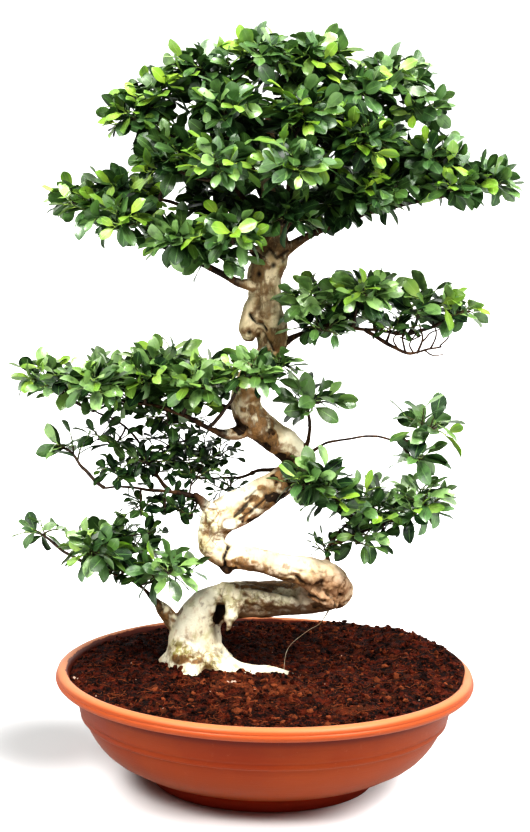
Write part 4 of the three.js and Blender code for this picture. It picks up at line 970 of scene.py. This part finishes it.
def slim(name, rows):
    """A limb thins soon after it leaves the trunk, or after its old stub."""
    dense = spline(rows, 5.0)
    gone = np.concatenate([[0], np.cumsum(np.linalg.norm(np.diff(dense[:, :3], axis=0), axis=1))])
    thinned = 0.58 + 0.42 * np.exp(-gone / 16)
    if name in STUBS:
        length, girth = STUBS[name]
        thinned = 0.45 + (girth - 0.45) * np.exp(-np.maximum(0, gone - length) / 9)
    dense[:, 3] *= thinned * SLENDER.get(name, 1.0)
    return dense


def wood_lines():
    """The centrelines of the trunk, its roots and its limbs: thick parts, and thin branches."""
    thick = [("trunk", TRUNK_LINE)]
    thick += [("root", rows) for rows in ROOTS] + [("strand", rows) for rows in STRANDS]
    thick = [(name, np.array(rows, float)) for name, rows in thick]
    thin = []
    for name, rows in LIMBS.items():
        if name in LUMPS:
            thick.append((name, np.array(rows, float)))
            continue
        dense = slim(name, rows)
        big = int((dense[:, 3] >= THICK).sum())
        if big < 3:
            thin.append((name, dense))
            continue
        thick.append((name, dense[:big + 2]))
        if big < len(dense) - 1:
            thin.append((name, dense[big - 2:]))
    return thick, thin


def gap_to_line(points, line, flatten):
    """Distance from points to a line of straight stretches, with each axis weighted by flatten."""
    best = np.full(len(points), np.inf)
    for a, b in zip(line[:-1], line[1:]):
        a, b = np.array(a, float), np.array(b, float)
        along = np.clip(((points - a) @ (b - a)) / np.dot(b - a, b - a), 0, 1)
        gap = np.linalg.norm((points - a - along[:, None] * (b - a)) * flatten, axis=1)
        best = np.minimum(best, gap)
    return best


def gap_to_spot(points, middle, half):
    """Distance from points to a spot, in half-sizes of the spot."""
    return np.linalg.norm((points - middle) / half, axis=1)


def swept_wood():
    """The thick parts as ribbed tubes in one rough mesh, and the lines that they follow."""
    def ribs(along, angle):
        return (0.045 * np.cos(2 * angle[None] + 9 * along[:, None])
                + 0.04 * np.cos(3 * angle[None] - 14 * along[:, None]))

    def slight_ribs(along, angle):
        return 0.7 * ribs(along, angle)

    rough, lines = Shape(), []
    for number, (name, rows) in enumerate(wood_lines()[0]):
        dense = spline(rows, 3.0)
        points = dense[:, :3]
        if name == "root":
            points += wander(points, 1.2, (12, 12, 14), (31 + number, 41 + number, 51))
        if name != "strand":
            lines.append(dense)
        sides, ripple = (40, ribs) if name == "trunk" else (20, slight_ribs)
        verts, faces, _ = tube(points, dense[:, 3], sides, ripple)
        rough.add(verts, faces)
    return rough.build("wood_raw", []), np.vstack(lines)


def joined(body):
    """The rough body's tubes made one skin, which is a little smoothed where they meet."""
    remesh = body.modifiers.new("one_body", "REMESH")
    remesh.mode = "VOXEL"
    remesh.voxel_size = 1.55 * MM
    remesh.use_smooth_shade = True
    settle = body.modifiers.new("settle", "SMOOTH")
    settle.factor = 0.5
    settle.iterations = 4
    bpy.context.view_layer.update()
    mesh = bpy.data.meshes.new_from_object(body.evaluated_get(bpy.context.evaluated_depsgraph_get()))
    bpy.data.objects.remove(body)
    return mesh


def per_vertex(mesh, key):
    numbers = np.zeros(len(mesh.vertices) * 3, np.float32)
    mesh.vertices.foreach_get(key, numbers)
    return numbers.reshape(-1, 3).astype(float)


def girth_at(points, lines, block=4000):
    """The radius of the trunk, root or limb on whose skin each point lies."""
    girth = []
    for part in np.split(points, range(block, len(points), block)):
        gap = np.linalg.norm(part[:, None] - lines[None, :, :3], axis=2) - lines[None, :, 3]
        girth.append(lines[np.abs(gap).argmin(1), 3])
    return np.concatenate(girth)


def spread(points, spots, edge):
    """How strongly spots with ragged edges cover each point."""
    field = np.zeros(len(points))
    for *middle, rx, ry, rz, strength in spots:
        d = gap_to_spot(points, middle, [rx, ry, rz]) + edge
        field = np.maximum(field, strength * smooth(d, 1.15, 0.55))
    return field


def bark_form(p, girth):
    """How far the bark stands out of the smooth wood, and the marks on it, with painted shade in its pits,
    hollows and grooves.
    """
    thickness = np.clip(girth / 15, 0.25, 1.3)
    push = thickness * waves(p, [(1.2, 34, 1), (1.0, 15, 2)])
    push += np.clip(thickness, 0, 1) * waves(p, [(0.55, 7, 3), (0.28, 3.2, 4)])

    burr = smooth(gap_to_spot(p, [58, -8, 212], [38, 32, 26]), 1.3, 0.6)
    pits = smooth(noise(p, 5.2, 7), 0.15, 0.75)
    push += burr * (waves(p, [(2.6, 9, 6), (1.2, 4.5, 17)]) - 2.4 * pits)
    rough = smooth(gap_to_spot(p, [-38, 8, 180], [16, 18, 26]), 1.3, 0.6)
    push += rough * waves(p, [(1.8, 8, 26), (1.0, 4, 27)])
    # painted shade in the burr's pits on its front side
    dark = 0.85 * burr * smooth(pits, 0.35, 0.9) * smooth(p[:, 1], 2, -10)

    for *middle, radius, depth, darkness in DENTS:
        near = np.exp(-gap_to_spot(p, middle, radius) ** 2)
        push -= depth * near
        dark = np.maximum(dark, darkness * smooth(near, 0.35, 0.95))

    pale = np.zeros(len(p))
    ragged = np.clip(1 + waves(p, [(0.32, 6, 18), (0.28, 2.6, 16)]), 0.3, 1.7)
    for *middle, radius in SCARS:
        d = np.linalg.norm((p - middle) * [1, 0.5, 1.1], axis=1) / radius * (1 + 0.12 * noise(p, 7, 19))
        push += 1.3 * np.exp(-((d - 1.0) / 0.2) ** 2) - 1.2 * smooth(d, 0.9, 0.5)
        pale = np.maximum(pale, smooth(d, 0.94, 0.74))
        dark = np.maximum(dark, 0.45 * np.exp(-((d - 1.03) / 0.09) ** 2) * smooth(ragged, 0.85, 1.15))
    for line, width, depth, darkness in GROOVES:
        near = np.exp(-(gap_to_line(p, line, [1, 0.4, 1]) / (width * ragged)) ** 2)
        push -= depth * near
        dark = np.maximum(dark, darkness * smooth(near, 0.25, 0.85))

    edge = waves(p, [(0.35, 9, 8), (0.25, 4, 28)])
    # brown stains together with painted shade, then moss, then plates
    stain, moss, plates = [spread(p, spots, edge) for spots in (STAINS_AND_SHADE, MOSS, PLATES)]
    stain = np.maximum(stain, 0.30 * smooth(p[:, 2], 385, 450))
    inside = cells(p + wander(p, 4, (9, 9, 9), (71, 72, 73)), 15, 81)
    crack = smooth(inside, 0.16, 0.02) * plates
    push -= 1.1 * crack - 0.5 * plates * smooth(inside, 0.1, 0.5)
    return push, dict(girth=girth, dark=dark, pale=pale, moss=moss, burr=burr, stain=stain, plates=plates,
                      crack=crack)


def wood_piece(material):
    """The trunk with its roots and thick limbs: swept bodies made one, then given their bark's form."""
    body, lines = swept_wood()
    mesh = joined(body)
    p, normal = per_vertex(mesh, "co") / MM, per_vertex(mesh, "normal")
    push, marks = bark_form(p, girth_at(p, lines))
    p = p + normal * push[:, None]
    mesh.vertices.foreach_set("co", (p * MM).astype(np.float32).ravel())
    write_values(mesh, marks)
    mesh.materials.clear()
    mesh.materials.append(material)
    mesh.polygons.foreach_set("use_smooth", np.full(len(mesh.polygons), True))
    mesh.update()
    return link("trunk_wood", mesh)


# Bare twigs below the right pad: x, y, z and radius
TWIG_NET = [
    [(98, -6, 492, 2.4), (122, -16, 478, 1.9), (140, -20, 470, 1.6), (152, -20, 470, 1.2),
     (176, -18, 478, 0.9)],
    [(120, -14, 479, 1.5), (124, -14, 494, 1.1), (120, -10, 508, 0.9)],
    [(140, -20, 470, 1.3), (136, -16, 486, 1.0), (142, -12, 500, 0.8)],
    [(152, -20, 470, 1.2), (158, -14, 484, 1.0), (154, -10, 500, 0.8)],
    [(166, -18, 475, 1.0), (172, -14, 488, 0.8), (168, -8, 502, 0.7)],
    [(124, -14, 490, 1.0), (134, -14, 488, 0.8), (140, -12, 496, 0.7)],
    [(158, -15, 482, 0.9), (166, -14, 490, 0.7), (176, -12, 494, 0.6)],
    [(108, -10, 485, 1.2), (114, -16, 492, 0.9), (112, -14, 502, 0.7)],
    [(132, -18, 474, 1.1), (128, -20, 484, 0.8), (134, -18, 494, 0.7)],
    [(134, -17, 486, 0.8), (146, -16, 482, 0.8), (156, -16, 488, 0.7)],
    [(148, -20, 470, 1.0), (144, -18, 480, 0.8), (150, -16, 490, 0.7)],
    [(176, -18, 478, 0.9), (184, -16, 486, 0.7), (182, -12, 496, 0.6)],
    [(160, -19, 473, 0.9), (168, -20, 468, 0.7), (180, -20, 470, 0.5)],
]


def branches_piece(material):
    """Thin branches and bare twigs, which grow out of the thick limbs, and the thin aerial root."""
    shape = Shape()
    for number, (name, rows) in enumerate(wood_lines()[1] + [("net", rows) for rows in TWIG_NET]):
        dense = spline(rows, 3.0)
        points, radii = dense[:, :3], dense[:, 3]
        aerial = name == "aerial_root"
        slimness, stain = (0.52, 0.45) if aerial else (1.0, 0.0)
        if not aerial:
            points[1:] += wander(points[1:], 1.6, (16, 16, 16), (61 + number, 81 + number, 101 + number))
        radii = radii * (1 + 0.14 * noise(points, 7, 121 + number)) * slimness
        verts, faces, girth = tube(points, radii, 10 if radii.max() > 2.2 else 6)
        girth = np.full(len(verts), 5.3) if aerial else np.minimum(girth * 1.1, 8)
        shape.add(verts + 0.11 * noise(verts, 3.5, 9)[:, None], faces, girth=girth, stain=stain)
    return shape.build("trunk_branches", [material])


# Leaves
STATIONS = np.array([0.0, 0.10, 0.27, 0.47, 0.66, 0.82, 0.94])
WIDTHS = np.array([0.07, 0.30, 0.70, 0.94, 0.99, 0.80, 0.40])
COLUMNS = (-1.0, -0.52, 0.0, 0.52, 1.0)


def leaf_template():
    """A blade's corner numbers: the top and the underside share the edge and the tip."""
    corners = []

    def corner(t, s, up):
        corners.append((t, s, up))
        return len(corners) - 1

    def pairs(row):
        return list(zip(row[:-1], row[1:]))

    top = [[corner(t, s, 0 if abs(s) == 1 else 1) for s in COLUMNS] for t in STATIONS]
    bottom = [[row[0], corner(t, 0.0, -1), row[-1]] for t, row in zip(STATIONS, top)]
    tip = corner(1.0, 0.0, 0)
    quads = [(d, c, a, b) for low, high in pairs(top) for (a, b), (c, d) in zip(pairs(low), pairs(high))]
    quads += [(c, d, b, a) for low, high in pairs(bottom) for (a, b), (c, d) in zip(pairs(low), pairs(high))]
    tris = [(b, tip, a) for a, b in pairs(top[-1])]
    tris += [(a, tip, b) for a, b in pairs(bottom[-1])]
    tris += [(bottom[0][1], b, a) for a, b in pairs(top[0])]
    return *np.array(corners).T, np.array(quads), np.array(tris)


LEAF = leaf_template()


def leaf_blades(root, direction, facing, length, width, fold, droop, twist):
    """Corners of many blades at once, as an array of leaf, corner and x, y, z."""
    along, across, level, _, _ = LEAF
    half = np.interp(along, np.append(STATIONS, 1.0), np.append(WIDTHS, 0.0))
    x = unit(direction)
    z = unit(facing - x * (facing * x).sum(1, keepdims=True))
    y = np.cross(z, x)
    t, s, up = along[None], across[None], level[None]
    length, bend, twist = length[:, None], droop[:, None], twist[:, None]
    side = s * half * width[:, None] / 2
    reach = np.abs(side)
    ahead = length * (t - 0.16 * bend ** 2 * t ** 3)
    rise = -length * 0.5 * bend * t ** 2
    rise = rise + fold[:, None] * (reach - 0.45 * reach * np.abs(s)) + twist * side * t
    rise = rise + 0.03 * length * np.sin(9 * t + 6 * twist) * s ** 2 * half
    midrib = 0.22 * (np.abs(s) < 0.1) * (1 - t) * (up < 0)
    rise = rise + up * (0.30 * (1 - 0.75 * np.abs(s)) + midrib)
    offset = ahead[..., None] * x[:, None] + side[..., None] * y[:, None] + rise[..., None] * z[:, None]
    return root[:, None] + offset


def numbered(faces, count, corners):
    """One leaf's faces repeated for every leaf."""
    return (faces[None] + np.arange(count)[:, None, None] * corners).reshape(-1, faces.shape[1])


def add_leaves(shape, foot, root, direction, facing, length, width, fold, droop, twist, young, kind):
    """Blades with their stalks, which run from foot on the twig to root at the blade."""
    along, across, level, quads, tris = LEAF
    count, corners = len(root), len(along)
    verts = leaf_blades(root, direction, facing, length, width, fold, droop, twist)
    shape.add(verts, [numbered(quads, count, corners), numbered(tris, count, corners)],
              uv=np.tile(np.stack([along, across], -1), (count, 1)), young=np.repeat(young, corners),
              kind=np.repeat(kind, corners), under=np.tile((level < 0).astype(float), count))
    x = unit(direction)
    end = root + x * 1.2
    axis = unit(end - foot)
    side = unit(np.cross(axis, UP + 0.01 * x))
    over = np.cross(axis, side)
    angle = TURN * np.arange(3) / 3
    ring = side[:, None] * np.cos(angle)[None, :, None] + over[:, None] * np.sin(angle)[None, :, None]
    stalk = np.concatenate([foot[:, None] + 0.66 * ring, end[:, None] + 0.46 * ring], 1)
    walls, ends = ring_quads(2, 3), np.array([(2, 1, 0), (3, 4, 5)])
    shape.add(stalk, [numbered(walls, count, 6), numbered(ends, count, 6)],
              uv=np.tile([[0.02, 0.0]], (count * 6, 1)), young=np.repeat(0.3 + 0.7 * young, 6),
              kind=np.repeat(kind, 6), under=0)


# Places on the limbs and the trunk's top from which sprays grow
SEATS = np.vstack([spline(rows, 6.0)[2:] for name, rows in LIMBS.items() if name not in LEAFLESS]
                  + [spline(TRUNK_LINE[-8:], 6.0)])
CROWN_MIDDLE = np.array([0.0, 0.0, 668.0])
CROWN_REACH = np.array([262.0, 150.0, 112.0])
PADS_PAINTED_LIGHTER = ("left_pad", "right_pad")
LEAF_LENGTH = 30
SMALL_LEAVES = 0.7  # leaves of this scale or less, on bare twigs, get painted shade that makes them dark


def light_reaching(place, spray):
    """Painted light and shade: a factor that darkens leaves inside the crown and under a pad, and keeps the
    outer and upper ones lit.
    """
    height = (place[2] - spray.middle[2]) / spray.reach[2]
    if not spray.crown:
        return 0.36 + 0.64 * smooth(height, -0.8, 0.5)
    outward = np.linalg.norm((place - CROWN_MIDDLE) / CROWN_REACH)
    return (0.45 + 0.55 * smooth(height, -1.0, 0.4)) * (0.25 + 0.75 * smooth(outward, 0.55, 0.92))


def spray_stem(spray, number, girth):
    """A stem from the nearest limb under the spray to the spray's far side: its points and radii."""
    middle, reach = spray.middle, spray.reach
    cost = np.linalg.norm(SEATS[:, :3] - middle, axis=1) + 0.6 * np.maximum(0, SEATS[:, 2] - middle[2] + 8)
    seat = SEATS[cost.argmin(), :3]
    away = unit((middle - seat) * [1, 1, 0])
    foot = middle - 0.3 * reach[0] * away - 0.45 * reach[2] * UP
    bend = seat * 0.45 + foot * 0.55 - UP * 0.06 * np.linalg.norm(foot - seat)
    end = middle + 0.5 * reach[0] * away
    places = [seat, bend, foot, 0.5 * foot + 0.5 * end + UP * 1.5, end]
    stem = spline(np.column_stack([places, np.array([2.2, 1.8, 1.5, 1.2, 0.9]) * girth]), 4.0)
    points = stem[:, :3]
    points[1:] += wander(points[1:], 1.2, (11, 11, 11), (201 + number, 231 + number, 261))
    return points, stem[:, 3] * (1 + 0.12 * noise(points, 6, 5))


def shoot_line(rng, stem, tip):
    """A shoot that curves up from the stem to its tip."""
    usable = stem[len(stem) // 3:]
    gap = np.linalg.norm(usable - tip, axis=1)
    start = usable[np.abs(gap - max(16.0, gap.min() * 1.25)).argmin()]
    length = np.linalg.norm(tip - start)
    if length < 9:
        tip = start + unit(tip - start + 0.01 * UP) * 12
        length = 12
    control = start + 0.5 * (tip - start) + 0.18 * length * (0.7 * UP + 0.8 * unit(rng.normal(size=3)))
    t = np.linspace(0, 1, max(4, int(length / 5)))[:, None]
    return (1 - t) ** 2 * start + 2 * t * (1 - t) * control + t * t * tip, length


def shoot_leaves(rng, line, length, flush, spray):
    """The leaves round one shoot, closer and smaller towards its tip; a flush of young ones is paler."""
    axes = tangents(line)
    first = rng.random() * TURN
    hue = rng.random()
    leaves = []
    for j in range(spray.per_shoot):
        late = j / (spray.per_shoot - 1)
        share = 1 - 0.85 * (1 - late) ** 0.95 * min(1, 30 / length)
        place = share * (len(line) - 1)
        low = min(int(place), len(line) - 2)
        node = line[low] + (line[low + 1] - line[low]) * (place - low)
        axis = unit(axes[low] * [1, 1, 0.55] + 0.02 * UP)
        side = unit(np.cross(axis, UP + np.array([0.02, 0.01, 0])))
        angle = first + j * 2.4
        outward = side * math.cos(angle) + np.cross(side, axis) * math.sin(angle) * 0.75
        lean = math.radians(74 - 40 * late ** 1.6 + 11 * rng.normal())
        direction = axis * math.cos(lean) + outward * math.sin(lean) + UP * (0.06 + 0.12 * rng.random())
        direction[2] = min(max(direction[2], -0.5), 0.62)
        direction = unit(direction)
        outside = unit(node - spray.middle + 1e-3)
        facing = 0.8 * UP + 0.35 * axis + 0.34 * outside + 0.38 * rng.normal(size=3)
        size = spray.scale * (LEAF_LENGTH - 8 * late ** 2) * (0.76 + 0.36 * rng.random())
        stalk = spray.scale * (3.0 + 3.5 * rng.random() * (1 - 0.4 * late))
        chance = rng.random()
        youth = (0.5 + 0.5 * chance) * smooth(late, 0.3, 0.7) if flush else 0.22 * chance * late
        tone = np.clip(0.30 * hue + 0.95 * rng.random() + (-0.05 if spray.crown else 0.05), 0, 1)
        # painted light and shade: the tone follows where light reaches, and small leaves on bare twigs are
        # made dark
        tone *= light_reaching(node, spray) * (1 if spray.scale > SMALL_LEAVES else 0.3)
        if not spray.crown:
            # painted light on the pads, with more contrast between lit and shaded leaves
            tone *= spray.lift * (0.14 + 0.86 * smooth(tone, 0.15, 0.56))
        width = size * (0.50 + 0.10 * rng.random()) * spray.slender
        fold, droop, twist = 0.15 + 0.42 * rng.random(), 0.15 + 0.55 * rng.random(), 0.12 * rng.normal()
        leaves.append((node, node + direction * stalk, direction, facing, size, width, fold, droop, twist,
                       youth, min(tone, 1.0)))
    return leaves


def spray_piece(materials, number, name, middle, reach, shoots, per_shoot, young_share, scale):
    """One leafy spray: a stem from the limb, its shoots, and the leaves round them."""
    rng = np.random.default_rng(1000 + number)
    crown = name.startswith("crown")
    spray = SimpleNamespace(
        middle=np.array(middle, float), reach=np.array(reach, float), per_shoot=per_shoot, scale=scale,
        crown=crown, slender=0.86 if name.startswith("low_right") else 1.0,
        # painted light: the pads' leaves made brighter, the left and right pads most
        lift=1.35 if name.startswith(PADS_PAINTED_LIGHTER) else 1.08)
    fullness, lowest = (1.14, 1.5) if crown else (1.10, 1.4)
    shape = Shape()
    large = scale > 0.75
    points, radii = spray_stem(spray, number, 1.0 if large else 0.6)
    verts, faces, _ = tube(points, radii, 6)
    shape.add(verts, faces, material=1, young=0)

    leaves = []
    for k in range(shoots):
        # tips lie evenly round the upper part of the spray
        level = 1 - (k + 0.5) / shoots * lowest
        flat = math.sqrt(max(0, 1 - level * level))
        turn = k * GOLDEN + number * 1.7
        heading = np.array([flat * math.cos(turn), flat * math.sin(turn), level])
        tip = spray.middle + heading * spray.reach * fullness * (0.66 + 0.42 * rng.random())
        line, length = shoot_line(rng, points, tip)
        flush = rng.random() < young_share
        verts, faces, _ = tube(line, np.linspace(1.1, 0.6, len(line)) * (1.0 if large else 0.75), 4)
        greening = np.concatenate([[0, 0], np.linspace(0, 0.8 if flush else 0.3, len(line)), [1, 1]])
        shape.add(verts, faces, material=1, young=np.repeat(greening, 4))
        leaves += shoot_leaves(rng, line, length, flush, spray)
    add_leaves(shape, *[np.array(column, float) for column in zip(*leaves)])
    return shape.build(f"leaves_{name}", materials, sharp=62)


# The object
def keep(piece, slot, *nodes):
    """A piece of the object: its slot, which is not used, its body, and the solids that it stands for."""
    if nodes:
        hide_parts(*nodes)
    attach(piece, "root")


OVER_SOIL = 140  # wood above this height keeps no crumbs away
WOOD_NEAR_SOIL = np.vstack([spline(rows, 4.0) for rows in [TRUNK_LINE[:6]] + ROOTS])
WOOD_NEAR_SOIL = WOOD_NEAR_SOIL[WOOD_NEAR_SOIL[:, 2] < OVER_SOIL]


def clear_of_wood(places):
    """Which places on the soil no wood covers."""
    gap = np.linalg.norm(places[:, None] - WOOD_NEAR_SOIL[None, :, :2], axis=2)
    return (gap - 0.8 * WOOD_NEAR_SOIL[None, :, 3]).min(1) > 0


clay, peat, bark = pot_material(), soil_material(), bark_material()
foliage = [leaf_material(), twig_material()]
wood = wood_piece(bark)
keep(pot_piece(clay), "pot", "pot")
keep(soil_piece(peat), "soil", "soil")
keep(crumbs_piece(peat, clear_of_wood), "soil")
keep(wood, "bark", "trunk")
keep(branches_piece(bark), "bark")
for number, (name, *row) in enumerate(SPRAYS):
    scale = next(size for place, size in LEAF_SCALES.items() if name.startswith(place))
    keep(spray_piece(foliage, number, name, *row, scale), "leaf", f"spray_{name}")
for number, (name, *row) in enumerate(FILLS):
    keep(spray_piece(foliage, 100 + number, name, *row), "leaf")


# Floor, lights, camera
def floor_distance(n, middle, reach):
    """Distance from a point of the floor, in reaches."""
    moved = n.make("ShaderNodeMapping", vector_type="TEXTURE")
    n.fill(moved, Vector=n.place(), Location=(*middle, 0), Scale=(*reach, 1))
    length = n.make("ShaderNodeVectorMath", operation="LENGTH")
    n.put(length.inputs[0], moved.outputs[0])
    return length.outputs["Value"]


def floor_material():
    """Pale paper that glows for the camera alone: painted light that makes it brighter away from the bowl,
    at its right, and away from its cast shadow.
    """
    n = Nodes("floor_paper")
    by_bowl = n.ramp(floor_distance(n, (0, -0.012), (0.86, 1.16)), 0.140, 0.225, 0.0, 0.46)
    far_off = n.ramp(floor_distance(n, (0, 0), (1, 1)), 0.3, 1.2, 0.0, 0.42)
    # painted light at the bowl's right, over the floor its shadow falls on
    at_right = n.ramp(floor_distance(n, (0.23, -0.08), (0.19, 0.22)), 1.0, 0.4, 0.0, 0.35)
    outside_shadow = n.ramp(floor_distance(n, (-0.24, 0.10), (0.105, 0.12)), 0.3, 1.4)
    glow = n.times(n.plus(n.plus(by_bowl, far_off), at_right), outside_shadow)
    seen = n.make("ShaderNodeLightPath").outputs["Is Camera Ray"]
    n.set(Base_Color=(0.66, 0.665, 0.67), Roughness=0.9, Specular_IOR_Level=0.1,
          Emission_Color=(1.0, 0.985, 0.975), Emission_Strength=n.times(seen, glow))
    return n.material


def studio_world():
    """A dim white sky for the light, and a white backdrop for the camera and for reflections."""
    world = bpy.data.worlds.new("studio")
    world.use_nodes = True
    tree = world.node_tree
    sky, backdrop = tree.nodes["Background"], tree.nodes.new("ShaderNodeBackground")
    for background, strength in ((sky, 0.16), (backdrop, 1.1)):
        background.inputs["Color"].default_value = (1, 1, 1, 1)
        background.inputs["Strength"].default_value = strength
    rays = tree.nodes.new("ShaderNodeLightPath")
    seen = tree.nodes.new("ShaderNodeMath")
    seen.operation = "MAXIMUM"
    choose = tree.nodes.new("ShaderNodeMixShader")
    for output, socket in ((rays.outputs["Is Camera Ray"], seen.inputs[0]),
                           (rays.outputs["Is Glossy Ray"], seen.inputs[1]),
                           (seen.outputs[0], choose.inputs[0]), (sky.outputs[0], choose.inputs[1]),
                           (backdrop.outputs[0], choose.inputs[2]),
                           (choose.outputs[0], tree.nodes["World Output"].inputs[0])):
        tree.links.new(output, socket)
    return world


def lamp(name, kind, power, direction, color=(1, 1, 1), place=(0, 0, 0), **settings):
    """A light that shines against a direction, which points from the object to the light."""
    data = bpy.data.lights.new(name, kind)
    data.energy = power
    data.color = color
    for key, value in settings.items():
        setattr(data, key, value)
    made = link(name, data)
    made.location = place
    made.rotation_euler = Vector(direction).to_track_quat("Z", "Y").to_euler()


def area_light(name, place, target, size, power, color):
    lamp(name, "AREA", power, Vector(place) - Vector(target), color, place, shape="DISK", size=size)


FLOOR_SIDE = 28000
floor_shape = Shape()
corners = [(-1, -1, 0), (1, -1, 0), (1, 1, 0), (-1, 1, 0)]
floor_shape.add(np.array(corners) * FLOOR_SIDE / 2, [np.array([(0, 1, 2, 3)])])
floor = floor_shape.build("floor", [floor_material()])

bpy.context.scene.world = studio_world()
lamp("overhead", "SUN", 2.1, (0.50, -0.25, 1.0), angle=math.radians(20))
area_light("front_left", (-1.5, -1.75, 2.5), (-0.05, 0, 0.35), 1.6, 102, (1.0, 0.99, 0.97))
area_light("front_right", (1.75, -1.55, 2.1), (0, 0, 0.3), 1.4, 70, (1.0, 0.99, 0.98))

CAMERA_PLACE = (-0.00569, -2.2, 0.739)
CAMERA_PITCH, CAMERA_ROLL = math.radians(90 - 8.84), math.radians(1.2)
FOCAL_PIXELS, PICTURE_HEIGHT = 2098, 832
camera_data = bpy.data.cameras.new("camera")
camera_data.sensor_width = 36
camera_data.lens = FOCAL_PIXELS / PICTURE_HEIGHT * camera_data.sensor_width
camera = link("camera", camera_data)
turned = Matrix.Rotation(CAMERA_PITCH, 4, "X") @ Matrix.Rotation(CAMERA_ROLL, 4, "Z")
camera.matrix_world = Matrix.Translation(CAMERA_PLACE) @ turned
bpy.context.scene.camera = camera
bpy.context.scene.view_settings.view_transform = "Standard"
bpy.context.scene.view_settings.look = "High Contrast"
